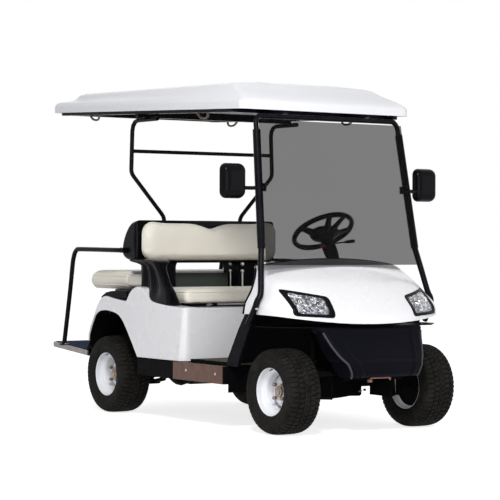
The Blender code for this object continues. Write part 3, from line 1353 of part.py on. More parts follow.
def make_hip_bracket(label, side):
    top = spread(BODY_TOP_SHARES, (BODY_FRONT_Y, BODY_BOTTOM_Z + GAP), (BODY_LENGTH, BODY_RISE))
    base = top[1 : 1 + HIP_BASE_POINTS]
    front_y, low_z = base[0]
    rear_y = base[-1][0] + HIP_HEEL
    size = (rear_y - front_y, HIP_TOP_Z - low_z)
    outline = base + [(rear_y, base[-1][1]), (rear_y, HIP_TOP_Z - MM)]
    outline += spread(HIP_FRONT_SHARES, (front_y, low_z), size)[::-1]
    low, high = sorted((side * HIP_INNER_X, side * HIP_OUTER_X))
    window = prism(spread(HIP_WINDOW_SHARES, (front_y, low_z), size), "X", low - OVERRUN, high + OVERRUN)
    shell_front = BACKREST_FRONT_Y + BACKREST_THICKNESS + GAP
    tongue_x = sorted((side * (SHELL_HALF_WIDTH - PILLOW_END), side * HIP_OUTER_X))
    tongue = block(
        (tongue_x[0], rear_y - CUSHION_CORNER, HIP_TOP_Z - HIP_TONGUE_DEPTH),
        (tongue_x[1], shell_front + SHELL_DEPTH / 2, HIP_TOP_Z),
    )
    flange_x = sorted((side * (HIP_INNER_X + MM), side * (HIP_OUTER_X + HIP_FLANGE_WIDTH)))
    flange = base + [(y, z + HIP_FLANGE_HEIGHT) for y, z in base[::-1]]
    pieces = [prism(outline, "X", low, high), prism(flange, "X", *flange_x), tongue]
    return node(f"hip_bracket_{label}", pieces, "moulded_black", [window])


# Rear struts, windscreen frame, roof and roof rails
STRUT_RADIUS = 0.013
STRUT_Y = 0.489
STRUT_FOOT_X = 0.275
STRUT_PATH = (
    (0.500, 0.200, 1.745), (0.500, 0.485, 1.745), (0.510, 0.482, 1.433), (0.391, 0.486, 1.302),
    (STRUT_FOOT_X, STRUT_Y, 1.174), (STRUT_FOOT_X, STRUT_Y, DECK_TOP_Z + GAP),
)
STRUT_BEND = 0.060
STRUT_CROSS_Z = 1.565
STRUT_CROSS_RADIUS = 0.011
STRUT_PLATE = 0.030
STRUT_PLATE_THICKNESS = 0.006
SCREEN_TUBE_RADIUS = 0.013
SCREEN_SLEEVE_RADIUS = 0.0185
SCREEN_FOOT = (0.6085, -0.900, 0.555)
SCREEN_BOLT = (0.601, -0.980, 0.676)
SCREEN_LOW_BEND = (0.570, -0.984, 0.757)
SCREEN_SLEEVE_BOTTOM = (0.526, -0.921, 0.992)
SCREEN_SLEEVE_TOP = (0.489, -0.815, 1.639)
SCREEN_HEADER = (0.485, -0.792, 1.715)
SCREEN_BEND = 0.070
GLASS_THICKNESS = 0.005
GLASS_BOTTOM_Z = 0.902
GLASS_TOP_Z = 1.690
GLASS_BOTTOM_Y = -0.966
GLASS_BOTTOM_HALF_WIDTH = 0.522
GLASS_TOP_HALF_WIDTH = 0.488
CLIP_WIDTH = 0.020
# Slope of the windscreen: how far back it goes for each metre of rise
SCREEN_LEAN = Vector(SCREEN_SLEEVE_TOP) - Vector(SCREEN_SLEEVE_BOTTOM)
SCREEN_SLOPE = SCREEN_LEAN.y / SCREEN_LEAN.z


def glass_y(z):
    return GLASS_BOTTOM_Y + (z - GLASS_BOTTOM_Z) * SCREEN_SLOPE


def make_windscreen():
    rings = []
    for z, half in ((GLASS_BOTTOM_Z, GLASS_BOTTOM_HALF_WIDTH), (GLASS_TOP_Z, GLASS_TOP_HALF_WIDTH)):
        front, rear = glass_y(z), glass_y(z) + GLASS_THICKNESS
        rings.append([(-half, front, z), (half, front, z), (half, rear, z), (-half, rear, z)])
    return node("windscreen", [loft(rings)], "smoked_glass")


def make_windscreen_frame():
    left = [SCREEN_FOOT, SCREEN_BOLT, SCREEN_LOW_BEND, SCREEN_SLEEVE_BOTTOM, SCREEN_SLEEVE_TOP, SCREEN_HEADER]
    right = [mirrored(point, -1) for point in left[::-1]]
    pieces = [tube(bent(left + right, SCREEN_BEND, 3), SCREEN_TUBE_RADIUS, 8)]
    for _, side in SIDES:
        bottom, top = Vector(mirrored(SCREEN_SLEEVE_BOTTOM, side)), Vector(mirrored(SCREEN_SLEEVE_TOP, side))
        pieces.append(rod(bottom, top, SCREEN_SLEEVE_RADIUS, 12))
        rings = []
        for point in (bottom, top):
            face = glass_y(point.z) + GLASS_THICKNESS + GAP
            half = CLIP_WIDTH / 2
            rings.append(
                [
                    (point.x - half, face, point.z),
                    (point.x + half, face, point.z),
                    (point.x + half, point.y, point.z),
                    (point.x - half, point.y, point.z),
                ]
            )
        pieces.append(loft(rings))
    return node("windscreen_frame", pieces, "tube_black")


def make_rear_struts():
    pieces = []
    for _, side in SIDES:
        path = bent([mirrored(point, side) for point in STRUT_PATH], STRUT_BEND, 3)
        pieces.append(tube(path, STRUT_RADIUS, 8))
        foot = Vector(mirrored(STRUT_PATH[-1], side))
        pieces.append(
            block(
                foot - Vector((STRUT_PLATE, STRUT_PLATE, 0)),
                foot + Vector((STRUT_PLATE, STRUT_PLATE, STRUT_PLATE_THICKNESS)),
            )
        )
    cross_x, cross_y = STRUT_PATH[1][:2]
    pieces.append(
        rod((-cross_x, cross_y, STRUT_CROSS_Z), (cross_x, cross_y, STRUT_CROSS_Z), STRUT_CROSS_RADIUS, 8)
    )
    return node("rear_struts", pieces, "tube_black")


ROOF_WALL = 0.008
ROOF_FRONT_Y = -0.810
ROOF_REAR_Y = 1.350
ROOF_HALF_WIDTH = 0.577
ROOF_CORNER = 0.085
ROOF_CORNER_STEPS = 3
ROOF_LENGTH = ROOF_REAR_Y - ROOF_FRONT_Y
ROOF_HEIGHT = 0.210
# Each ring from the edge to the crown: share of the half width, shares of the length cut off in front
# and behind, and shares of the height at the front and at the rear
ROOF_RING_SHARES = (
    (1.000, 0.000, 0.000, 0.000, 0.410),
    (1.000, 0.000, 0.000, 0.175, 0.590),
    (0.972, 0.007, 0.006, 0.275, 0.700),
    (0.900, 0.050, 0.035, 0.485, 0.755),
    (0.830, 0.085, 0.115, 0.640, 0.795),
    (0.700, 0.120, 0.148, 0.760, 0.950),
    (0.350, 0.200, 0.210, 0.860, 1.000),
)


def roof_ring(row, inset):
    width, front_cut, rear_cut, front_rise, rear_rise = row
    half = width * ROOF_HALF_WIDTH - inset
    front_y = ROOF_FRONT_Y + front_cut * ROOF_LENGTH + inset
    rear_y = ROOF_REAR_Y - rear_cut * ROOF_LENGTH - inset
    corner = max(ROOF_CORNER * width - inset, inset)
    centre = (0, (front_y + rear_y) / 2)
    outline = rounded_box_outline(half, (rear_y - front_y) / 2, corner, ROOF_CORNER_STEPS, centre)
    drop = inset if front_rise else 0

    def height(y):
        back = (y - ROOF_FRONT_Y) / ROOF_LENGTH
        return ROOF_EDGE_HEIGHT + ROOF_HEIGHT * (front_rise + (rear_rise - front_rise) * back) - drop

    return [(x, y, height(y)) for x, y in outline]


def make_roof():
    outer = [roof_ring(row, 0) for row in ROOF_RING_SHARES]
    inner = [roof_ring(row, ROOF_WALL) for row in ROOF_RING_SHARES]
    return node("roof", [shell(outer, inner, wraps=True, crowned=True)], "roof_white")


# The roof's rails: two channels inside its long skirts, joined by cross bars that rest on the two tube frames
ROOF_RAIL_INNER_X = 0.535
ROOF_RAIL_OUTER_X = ROOF_HALF_WIDTH - ROOF_WALL - RUNNING_GAP
ROOF_RAIL_BELOW = 0.018
ROOF_RAIL_ABOVE = 0.012
ROOF_RAIL_FRONT_Y = -0.700
ROOF_RAIL_REAR_Y = 1.240
ROOF_CROSS_WIDTH = 0.030
ROOF_CROSS_HEIGHT = 0.026
ROOF_CROSS_YS = (-0.640, 0.350, 1.180)
HEADER_SADDLE_HALF = 0.300


def roof_edge_z(y):
    """The height of the roof's lower edge."""
    rise = ROOF_RING_SHARES[0][4] - ROOF_RING_SHARES[0][3]
    return ROOF_EDGE_HEIGHT + ROOF_HEIGHT * rise * (y - ROOF_FRONT_Y) / ROOF_LENGTH


def make_roof_rails():
    ends = (ROOF_RAIL_FRONT_Y, ROOF_RAIL_REAR_Y)
    outline = [(y, roof_edge_z(y) - ROOF_RAIL_BELOW) for y in ends]
    outline += [(y, roof_edge_z(y) + ROOF_RAIL_ABOVE) for y in ends[::-1]]
    pieces = []
    for _, side in SIDES:
        low, high = sorted((side * ROOF_RAIL_INNER_X, side * ROOF_RAIL_OUTER_X))
        pieces.append(prism(outline, "X", low, high))
    strut_top = STRUT_PATH[0][2] + STRUT_RADIUS + GAP
    reach = (ROOF_RAIL_INNER_X + ROOF_RAIL_OUTER_X) / 2
    for y in ROOF_CROSS_YS:
        bottom = roof_edge_z(y) - ROOF_RAIL_BELOW + MM
        if STRUT_PATH[0][1] < y < STRUT_PATH[1][1]:
            bottom = strut_top
        top = max(bottom, roof_edge_z(y) - ROOF_RAIL_BELOW) + ROOF_CROSS_HEIGHT
        pieces.append(
            block((-reach, y - ROOF_CROSS_WIDTH / 2, bottom), (reach, y + ROOF_CROSS_WIDTH / 2, top))
        )
    header_y, header_z = SCREEN_HEADER[1], SCREEN_HEADER[2]
    seat_z = header_z + SCREEN_TUBE_RADIUS + GAP
    for _, side in SIDES:
        low, high = sorted((side * (HEADER_SADDLE_HALF - ROOF_CROSS_WIDTH), side * HEADER_SADDLE_HALF))
        pieces.append(
            block(
                (low, header_y - SCREEN_TUBE_RADIUS / 2, seat_z),
                (high, ROOF_CROSS_YS[0], roof_edge_z(ROOF_CROSS_YS[0])),
            )
        )
    return node("roof_rails", pieces, "tube_black")


# Mirrors
MIRROR_CENTRE = (0.658, -0.850, 1.355)
MIRROR_HALF_WIDTH = 0.077
MIRROR_HALF_HEIGHT = 0.095
MIRROR_DEPTH = 0.050
MIRROR_CORNER = 0.030
MIRROR_ARM_RADIUS = 0.007
MIRROR_ARM_Z = 1.322
MIRROR_ARM_REACH_SHARE = 0.6
MIRROR_PLATE_HEIGHT = 0.034
MIRROR_PLATE_LENGTH = 0.026
MIRROR_PLATE_THICKNESS = 0.006
MIRROR_SHELL_SHARES = ((0.0, 0.72), (0.35, 0.93), (0.75, 1.0), (1.0, 1.0))
MIRROR_GLASS_INSET = 0.006
MIRROR_GLASS_DEPTH = 0.003


def sleeve_point(z):
    """The middle of the windscreen's sleeve at a height, on the left side."""
    low, high = Vector(SCREEN_SLEEVE_BOTTOM), Vector(SCREEN_SLEEVE_TOP)
    return low.lerp(high, (z - low.z) / (high.z - low.z))


def make_mirror(label, side):
    centre = Vector(mirrored(MIRROR_CENTRE, side))
    rings = []
    for depth, size in MIRROR_SHELL_SHARES:
        half_width, half_height = MIRROR_HALF_WIDTH * size, MIRROR_HALF_HEIGHT * size
        outline = rounded_box_outline(half_width, half_height, MIRROR_CORNER * size, 2)
        y = centre.y - MIRROR_DEPTH / 2 + depth * MIRROR_DEPTH
        rings.append([(centre.x + x, y, centre.z + z) for x, z in outline])
    rear = centre.y + MIRROR_DEPTH / 2
    recess_outline = rounded_box_outline(
        MIRROR_HALF_WIDTH - MIRROR_GLASS_INSET,
        MIRROR_HALF_HEIGHT - MIRROR_GLASS_INSET,
        MIRROR_CORNER - MIRROR_GLASS_INSET,
        3,
        (centre.x, centre.z),
    )
    recess = prism(recess_outline, "Y", rear - MIRROR_GLASS_DEPTH, rear + OVERRUN)
    post = Vector(mirrored(sleeve_point(MIRROR_ARM_Z), side))
    lean = MIRROR_PLATE_HEIGHT / 2 * (SCREEN_SLEEVE_BOTTOM[0] - SCREEN_SLEEVE_TOP[0])
    lean /= SCREEN_SLEEVE_TOP[2] - SCREEN_SLEEVE_BOTTOM[2]
    inner_x = abs(post.x) + SCREEN_SLEEVE_RADIUS + GAP + lean
    plate = [
        (inner_x, -MIRROR_PLATE_HEIGHT / 2),
        (inner_x + MIRROR_PLATE_THICKNESS, -MIRROR_PLATE_HEIGHT / 2),
        (inner_x + MIRROR_PLATE_THICKNESS, MIRROR_PLATE_HEIGHT / 2),
        (inner_x, MIRROR_PLATE_HEIGHT / 2),
    ]
    plate = [(side * x, MIRROR_ARM_Z + z) for x, z in plate]
    half = MIRROR_PLATE_LENGTH / 2
    arm_start = Vector((side * (inner_x + MIRROR_PLATE_THICKNESS / 2), post.y, MIRROR_ARM_Z))
    arm_end = Vector((centre.x - side * MIRROR_HALF_WIDTH * MIRROR_ARM_REACH_SHARE, centre.y, MIRROR_ARM_Z))
    pieces = [
        loft(rings),
        rod(arm_start, arm_end, MIRROR_ARM_RADIUS, 8),
        prism(plate, "Y", post.y - half, post.y + half),
    ]
    return node(f"mirror_{label}", pieces, "moulded_black", [recess])


# Footplate and grab bars at the back
FOOTPLATE_HALF_WIDTH = 0.570
FOOTPLATE_FRONT_Y = 0.900
FOOTPLATE_FRONT_Z = 0.347
FOOTPLATE_REAR_Z = 0.385
FOOTPLATE_THICKNESS = 0.022
FOOTPLATE_CORNER = 0.040
FOOTPLATE_ARM_WIDTH = 0.030
FOOTPLATE_ARM_REACH = 0.240
FOOTPLATE_ARM_RISE = 0.024
FOOTPLATE_ARM_FRONT_Y = 0.860
GRAB_OUTSET = 0.055
GRAB_X = SHELL_HALF_WIDTH + GRAB_OUTSET
GRAB_RADIUS = 0.0125
GRAB_BEND = 0.060
GRAB_PATH_YZ = ((0.470, 0.960), (1.050, 0.979), (1.118, 0.900), (1.152, 0.720), (1.227, 0.382))
GRAB_FLANGE_RADIUS = 0.024
GRAB_FLANGE_THICKNESS = 0.005


def footplate_z(y):
    """The plate's top, which rises towards the back."""
    back = (y - FOOTPLATE_FRONT_Y) / (REAR_Y - FOOTPLATE_FRONT_Y)
    return FOOTPLATE_FRONT_Z + (FOOTPLATE_REAR_Z - FOOTPLATE_FRONT_Z) * back


def make_footplate():
    centre = (0, (FOOTPLATE_FRONT_Y + REAR_Y) / 2)
    half_length = (REAR_Y - FOOTPLATE_FRONT_Y) / 2
    outline = rounded_box_outline(FOOTPLATE_HALF_WIDTH, half_length, FOOTPLATE_CORNER, 3, centre)
    rings = [[(x, y, footplate_z(y) - drop) for x, y in outline] for drop in (FOOTPLATE_THICKNESS, 0)]
    pieces = [loft(rings)]
    for _, side in SIDES:
        low, high = sorted(side * REAR_RAIL_X + edge * FOOTPLATE_ARM_WIDTH / 2 for edge in (-1, 1))
        end_y = FOOTPLATE_FRONT_Y + FOOTPLATE_ARM_REACH
        start_y = REAR_RAIL_REAR_Y + GAP
        outline = [
            (start_y, FRAME_BOTTOM_Z + FRAME_EDGE_RADIUS),
            (start_y, footplate_z(start_y) - FOOTPLATE_THICKNESS / 2),
            (end_y + FOOTPLATE_CORNER, footplate_z(end_y + FOOTPLATE_CORNER) - FOOTPLATE_THICKNESS / 2),
            (end_y, FRAME_BOTTOM_Z + FOOTPLATE_ARM_RISE),
        ]
        pieces.append(prism(outline, "X", low, high))
    return node("footplate", pieces, "trim_aluminium")


def make_grab_bar(label, side):
    x = side * GRAB_X
    corners = [(x, y, z) for y, z in GRAB_PATH_YZ]
    foot_y = GRAB_PATH_YZ[-1][0]
    flange_z = footplate_z(foot_y + GRAB_FLANGE_RADIUS) + GAP
    corners[-1] = (x, foot_y, flange_z + GRAB_RADIUS)
    stub_x = side * (SHELL_HALF_WIDTH + GAP * 2)
    corners.insert(0, (stub_x, GRAB_PATH_YZ[0][0], GRAB_PATH_YZ[0][1]))
    pieces = [
        tube(bent(corners, GRAB_BEND, 3), GRAB_RADIUS, 8),
        rod((x, foot_y, flange_z), (x, foot_y, flange_z + GRAB_FLANGE_THICKNESS), GRAB_FLANGE_RADIUS, 8),
        rod((x, foot_y, flange_z), (x, foot_y, flange_z + 2 * GRAB_RADIUS), GRAB_RADIUS, 8),
    ]
    return node(f"grab_bar_{label}", pieces, "tube_black")


# Small trim, lamps, pedals and the battery block
TRIM_FRONT_Y = -0.672
TRIM_REAR_Y = -0.160
TRIM_THICKNESS = 0.003
TRIM_LIP = 0.030
TAIL_LAMP_X = 0.325
TAIL_LAMP_Z = 0.462
TAIL_LAMP_HALF = (0.040, 0.008, 0.024)
PEDAL_WIDTH = 0.085
PEDAL_HEIGHT = 0.110
PEDAL_THICKNESS = 0.012
PEDAL_BAR_Z = 0.412
PEDAL_STAND_OFF = 0.055
PEDAL_STALK_SHARE = 0.8
PEDAL_FOOT_FIT = 0.0012
PEDAL_BOTTOM_Z = 0.440
PEDAL_XS = (0.160, 0.360)
PEDAL_STALK_RADIUS = 0.008
BATTERY_HALF_WIDTH = 0.250
BATTERY_FRONT_Y = -0.190
BATTERY_REAR_Y = 0.350
BATTERY_ROOM = 0.0647


def make_sill_trim(label, side):
    """The kick strip: an angle over the sill's outer face and top."""
    outer = SILL_OUTER_X + GAP + TRIM_THICKNESS
    top = FRAME_TOP_Z + GAP + TRIM_THICKNESS
    outline = [
        (outer, SILL_BOTTOM_Z),
        (outer, top),
        (outer - TRIM_LIP, top),
        (outer - TRIM_LIP, top - TRIM_THICKNESS),
        (outer - TRIM_THICKNESS, top - TRIM_THICKNESS),
        (outer - TRIM_THICKNESS, SILL_BOTTOM_Z),
    ]
    strip = prism([(side * x, z) for x, z in outline], "Y", TRIM_FRONT_Y, TRIM_REAR_Y)
    return node(f"sill_trim_{label}", [strip], "trim_aluminium")


def make_tail_lamp(label, side):
    half = Vector(TAIL_LAMP_HALF)
    centre = Vector((side * TAIL_LAMP_X, BODY_FRONT_Y + BODY_LENGTH + GAP + half.y, TAIL_LAMP_Z))
    lamp = rounded(block(centre - half, centre + half), half.y / 2, 1)
    return node(f"tail_lamp_{label}", [lamp], "tail_red")


def toe_y(z):
    """The toe board's upper face at a height."""
    return TOE_FOOT_Y + (z - FLOOR_HEIGHT) * (TOE_HEAD_Y - TOE_FOOT_Y) / (TOE_HEAD_Z - FLOOR_HEIGHT)


def make_pedals():
    """Two pads on stalks that rise from one bar along the toe board."""
    bar_y = toe_y(PEDAL_BAR_Z) + 2 * PEDAL_STALK_RADIUS
    bar_ends = [(x, bar_y, PEDAL_BAR_Z) for x in PEDAL_XS]
    pieces = [rod(*bar_ends, PEDAL_STALK_RADIUS, 8)]
    for x in PEDAL_XS:
        rings = []
        for z in (PEDAL_BOTTOM_Z, PEDAL_BOTTOM_Z + PEDAL_HEIGHT):
            y = toe_y(z) + PEDAL_STAND_OFF
            rear = y + PEDAL_THICKNESS
            left, right = x - PEDAL_WIDTH / 2, x + PEDAL_WIDTH / 2
            rings.append([(left, y, z), (right, y, z), (right, rear, z), (left, rear, z)])
        pieces.append(loft(rings))
        top_z = PEDAL_BOTTOM_Z + PEDAL_HEIGHT / 2
        top = (x, toe_y(top_z) + PEDAL_STAND_OFF + PEDAL_THICKNESS / 2, top_z)
        pieces.append(rod((x, bar_y, PEDAL_BAR_Z), top, PEDAL_STALK_RADIUS * PEDAL_STALK_SHARE, 8))
        foot_z = PEDAL_BAR_Z - PEDAL_STALK_RADIUS
        foot = (x, toe_y(foot_z) + PEDAL_FOOT_FIT, foot_z)
        pieces.append(rod((x, bar_y, PEDAL_BAR_Z), foot, PEDAL_STALK_RADIUS / 2, 8))
    return node("pedals", pieces, "moulded_black")


def make_battery():
    outrigger_top_z = FRAME_BOTTOM_Z + FRAME_RAIL_HEIGHT / 2 + OUTRIGGER_HEIGHT / 2
    low = (-BATTERY_HALF_WIDTH, BATTERY_FRONT_Y, outrigger_top_z + GAP)
    high = (BATTERY_HALF_WIDTH, BATTERY_REAR_Y, SEAT_WELL_Z - BATTERY_ROOM)
    return node("battery_pack", [block(low, high)], "chassis_black")


def main():
    for row in WHEELS:
        make_tyre(*row)
        make_rim(*row)
    make_frame()
    make_rear_axle()
    make_rack_housing()
    make_tie_rods()
    make_steering_column()
    make_steering_wheel()
    make_floor()
    make_front_liner()
    make_cowl()
    make_bumper()
    make_dashboard()
    make_rear_body()
    make_seat()
    make_seat_hinges()
    make_backrests()
    make_rear_seat()
    make_windscreen()
    make_windscreen_frame()
    make_rear_struts()
    make_roof()
    make_roof_rails()
    make_footplate()
    make_pedals()
    make_battery()
    for label, side in SIDES:
        make_rear_suspension(label, side)
        make_rear_shock(label, side)
        make_front_suspension(label, side)
        make_knuckle(label, side)
        make_headlamp(label, side)
        make_hip_bracket(label, side)
        make_mirror(label, side)
        make_grab_bar(label, side)
        make_sill_trim(label, side)
        make_tail_lamp(label, side)


main()
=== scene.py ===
"""The golf cart's looks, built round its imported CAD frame: materials, soft seats, tyres, glass, lamps and fittings.

Metres, +Z up, front facing -Y, +X is the cart's left.
"""

import math

import bmesh
import bpy
from mathutils import Matrix, Vector
from mathutils.bvhtree import BVHTree
from mathutils.kdtree import KDTree


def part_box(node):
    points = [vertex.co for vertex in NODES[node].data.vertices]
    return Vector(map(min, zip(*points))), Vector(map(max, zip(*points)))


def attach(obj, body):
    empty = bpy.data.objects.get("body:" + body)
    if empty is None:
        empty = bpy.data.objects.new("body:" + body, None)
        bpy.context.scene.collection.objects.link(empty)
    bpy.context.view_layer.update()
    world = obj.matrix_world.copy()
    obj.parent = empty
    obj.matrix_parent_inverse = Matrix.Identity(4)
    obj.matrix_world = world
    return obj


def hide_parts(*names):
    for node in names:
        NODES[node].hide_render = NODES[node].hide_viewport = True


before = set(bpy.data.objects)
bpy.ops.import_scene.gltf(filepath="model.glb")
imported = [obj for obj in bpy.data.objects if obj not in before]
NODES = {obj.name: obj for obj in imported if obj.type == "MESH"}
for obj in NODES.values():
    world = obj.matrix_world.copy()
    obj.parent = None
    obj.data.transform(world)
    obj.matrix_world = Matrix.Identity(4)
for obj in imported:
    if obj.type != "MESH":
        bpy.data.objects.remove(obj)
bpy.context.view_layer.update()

MM = 0.001
SIDES = (("l", 1), ("r", -1))
QUARTERS = ((1, 1), (-1, 1), (-1, -1), (1, -1))

TYRE_RADIUS = 0.230
WHEELS = ("fl", "fr", "rl", "rr")


def centre_of(node):
    low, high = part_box(node)
    return (low + high) / 2


# Camera, at the photograph's angle
CAMERA_PLACE = (-6.4244, -9.5601, 1.0341)
CAMERA_YAW = 0.593235050
CAMERA_PITCH = -0.00480960744
CAMERA_ROLL = 0.00427323143
CAMERA_LENS = 140.463


def make_camera():
    data = bpy.data.cameras.new("photo_camera")
    data.sensor_width = 36
    data.lens = CAMERA_LENS
    data.clip_end = 100
    camera = bpy.data.objects.new("photo_camera", data)
    bpy.context.scene.collection.objects.link(camera)
    pitch_cos = math.cos(CAMERA_PITCH)
    ahead = Vector(
        (math.sin(CAMERA_YAW) * pitch_cos, math.cos(CAMERA_YAW) * pitch_cos, math.sin(CAMERA_PITCH))
    )
    level = Vector((math.cos(CAMERA_YAW), -math.sin(CAMERA_YAW), 0))
    above = level.cross(ahead)
    right = math.cos(CAMERA_ROLL) * level + math.sin(CAMERA_ROLL) * above
    up = -math.sin(CAMERA_ROLL) * level + math.cos(CAMERA_ROLL) * above
    camera.matrix_world = Matrix.Translation(CAMERA_PLACE) @ Matrix((right, up, -ahead)).transposed().to_4x4()
    bpy.context.scene.camera = camera


# Node materials: a small helper that keeps each material short
class Look:
    """A Principled material whose procedural nodes read the piece's own coordinates, in metres."""

    def __init__(self, name, colour, roughness, metallic=0.0, **sockets):
        self.material = bpy.data.materials.new(name)
        self.material.use_nodes = True
        self.tree = self.material.node_tree
        self.shader = self.tree.nodes["Principled BSDF"]
        self.colour = (*colour, 1)
        self.shader.inputs["Base Color"].default_value = self.colour
        self.shader.inputs["Roughness"].default_value = roughness
        self.shader.inputs["Metallic"].default_value = metallic
        for socket, value in sockets.items():
            self.shader.inputs[socket.replace("_", " ")].default_value = value
        self.place = self.add("ShaderNodeTexCoord").outputs["Object"]
        self.normal = None

    def add(self, kind, settings=None, **inputs):
        made = self.tree.nodes.new(kind)
        for key, value in (settings or {}).items():
            setattr(made, key, value)
        for key, value in inputs.items():
            socket = made.inputs[key.replace("_", " ")]
            if isinstance(value, bpy.types.NodeSocket):
                self.tree.links.new(value, socket)
            else:
                socket.default_value = value
        return made

    def link(self, source, socket):
        self.tree.links.new(source, self.shader.inputs[socket])

    def stretched(self, scale, turn=(0, 0, 0)):
        """The piece's coordinates, stretched and turned."""
        return self.add("ShaderNodeMapping", Vector=self.place, Scale=scale, Rotation=turn).outputs["Vector"]

    def noise(self, scale, detail=4.0, roughness=0.55, place=None):
        made = self.add(
            "ShaderNodeTexNoise", Vector=place or self.place, Scale=scale, Detail=detail, Roughness=roughness
        )
        return made.outputs["Fac"]

    def cells(self, scale, feature="F1", place=None, **inputs):
        made = self.add("ShaderNodeTexVoronoi", {"feature": feature}, Vector=place or self.place, Scale=scale, **inputs)
        return made.outputs["Distance"]

    def span(self, value, low, high, to_low, to_high, smooth=False):
        made = self.add(
            "ShaderNodeMapRange",
            {"interpolation_type": "SMOOTHSTEP" if smooth else "LINEAR", "clamp": True},
            Value=value,
        )
        for place, number in zip((1, 2, 3, 4), (low, high, to_low, to_high)):
            made.inputs[place].default_value = number
        return made.outputs["Result"]

    def sum(self, a, b, operation="ADD"):
        made = self.add("ShaderNodeMath", {"operation": operation})
        for place, value in enumerate((a, b)):
            if isinstance(value, bpy.types.NodeSocket):
                self.tree.links.new(value, made.inputs[place])
            else:
                made.inputs[place].default_value = value
        return made.outputs["Value"]

    def mixed(self, share, first, second):
        """One colour blending into another by share."""
        made = self.add("ShaderNodeMix", {"data_type": "RGBA"})
        self.tree.links.new(share, made.inputs[0])
        for place, value in ((6, first), (7, second)):
            if isinstance(value, bpy.types.NodeSocket):
                self.tree.links.new(value, made.inputs[place])
            else:
                made.inputs[place].default_value = (*value, 1)
        return made.outputs[2]

    def bump(self, height, distance, strength=1.0):
        """Adds a bump over those already there; distance in metres."""
        made = self.add("ShaderNodeBump", Height=height, Distance=distance, Strength=strength)
        if self.normal:
            self.tree.links.new(self.normal, made.inputs["Normal"])
        self.normal = made.outputs["Normal"]
        self.link(self.normal, "Normal")

    def roughen(self, value, low, high):
        self.link(self.span(value, 0.3, 0.7, low, high), "Roughness")

    def up_share(self, low, high):
        """0 where the surface faces down or sideways, rising to 1 where it faces up."""
        geometry = self.add("ShaderNodeNewGeometry")
        split = self.add("ShaderNodeSeparateXYZ", Vector=geometry.outputs["Normal"])
        return self.span(split.outputs["Z"], low, high, 0, 1, smooth=True)


def painted(name, colour, roughness, peel=0.000003, coat=0.5):
    """Glossy moulded or painted panel: a faint orange peel, and slightly uneven gloss and shade."""
    look = Look(name, colour, roughness, Coat_Weight=coat, Coat_Roughness=0.12, Specular_IOR_Level=0.5)
    broad = look.noise(3.0, 3.0)
    shade = look.span(broad, 0.3, 0.7, 0, 1)
    look.link(look.mixed(shade, [c * 0.975 for c in colour], colour), "Base Color")
    look.roughen(look.noise(7.0, 3.0), roughness - 0.03, roughness + 0.05)
    look.bump(look.noise(240.0, 2.0), peel)
    return look.material


def moulded(name, colour, roughness, grain=0.00022, scale=900.0, shine=0.035):
    """Moulded plastic with a fine leather-like grain and a little dust on its upper faces."""
    look = Look(name, colour, roughness, Specular_IOR_Level=shine)
    grains = look.cells(scale, "SMOOTH_F1", Smoothness=0.6)
    dust = look.sum(look.noise(9.0, 6.0, 0.7), look.up_share(0.2, 1.0), "MULTIPLY")
    share = look.span(dust, 0.25, 0.75, 0, 0.5)
    look.link(look.mixed(share, colour, [c * 1.5 + 0.003 for c in colour]), "Base Color")
    look.roughen(look.noise(40.0, 5.0), roughness - 0.08, roughness + 0.10)
    look.bump(grains, grain)
    return look.material


def powder_coated(name, colour, roughness):
    """Tube steel with a glossy powder coat: fine pebbled skin."""
    look = Look(name, colour, roughness, Coat_Weight=0.02, Coat_Roughness=0.15, Specular_IOR_Level=0.05)
    look.bump(look.noise(700.0, 2.0), 0.00010)
    look.roughen(look.noise(60.0, 4.0), roughness - 0.06, roughness + 0.08)
    shade = look.span(look.noise(14.0, 4.0), 0.35, 0.7, 0, 1)
    look.link(look.mixed(shade, colour, [c * 1.5 + 0.002 for c in colour]), "Base Color")
    return look.material


def chassis_steel(name, colour, roughness):
    """Painted chassis steel, dusty towards its upper faces, with specks."""
    look = Look(name, colour, roughness, Specular_IOR_Level=0.025)
    dust = look.sum(look.noise(12.0, 7.0, 0.75), look.up_share(0.0, 1.0), "MULTIPLY")
    share = look.span(dust, 0.2, 0.8, 0, 0.75)
    look.link(look.mixed(share, colour, (0.020, 0.018, 0.017)), "Base Color")
    look.roughen(look.noise(70.0, 6.0, 0.7), roughness - 0.08, roughness + 0.25)
    look.bump(look.noise(420.0, 5.0, 0.7), 0.00025)
    return look.material


def vinyl(name, colour):
    """Cream seat vinyl: pebbled leather grain over soft wrinkles, with painted shade in its hollows: the colour darkens
    with the grain and the wrinkles.
    """
    look = Look(name, colour, 0.46, Specular_IOR_Level=0.42, Sheen_Weight=0.08, Sheen_Roughness=0.5)
    pebbles = look.cells(520.0, "F1", Randomness=0.95)
    creases = look.cells(210.0, "DISTANCE_TO_EDGE")
    soft = look.noise(7.0, 4.0)
    # painted shade: darker where the pebble grain and the soft wrinkles run
    shade = look.span(look.sum(soft, look.span(pebbles, 0.0, 0.6, 0.0, 0.35), "ADD"), 0.3, 1.0, 0, 1)
    look.link(look.mixed(shade, colour, [c * 0.93 for c in colour]), "Base Color")
    look.roughen(look.noise(30.0, 5.0), 0.38, 0.55)
    look.bump(soft, 0.0011)
    look.bump(look.span(creases, 0.0, 0.10, 0, 1), 0.00012)
    look.bump(pebbles, 0.00028)
    return look.material


def rubber(name, colour):
    """Tyre rubber: sooty, dusty in its grooves and along the tread, with a fine grain."""
    look = Look(name, colour, 0.78, Specular_IOR_Level=0.07)
    dust = look.noise(16.0, 8.0, 0.75)
    share = look.span(dust, 0.42, 0.72, 0, 1)
    look.link(look.mixed(share, colour, (0.024, 0.021, 0.018)), "Base Color")
    look.roughen(look.noise(50.0, 6.0, 0.7), 0.62, 0.90)
    look.bump(look.noise(650.0, 4.0, 0.7), 0.00030)
    look.bump(look.cells(150.0, "F1"), 0.00025)
    return look.material


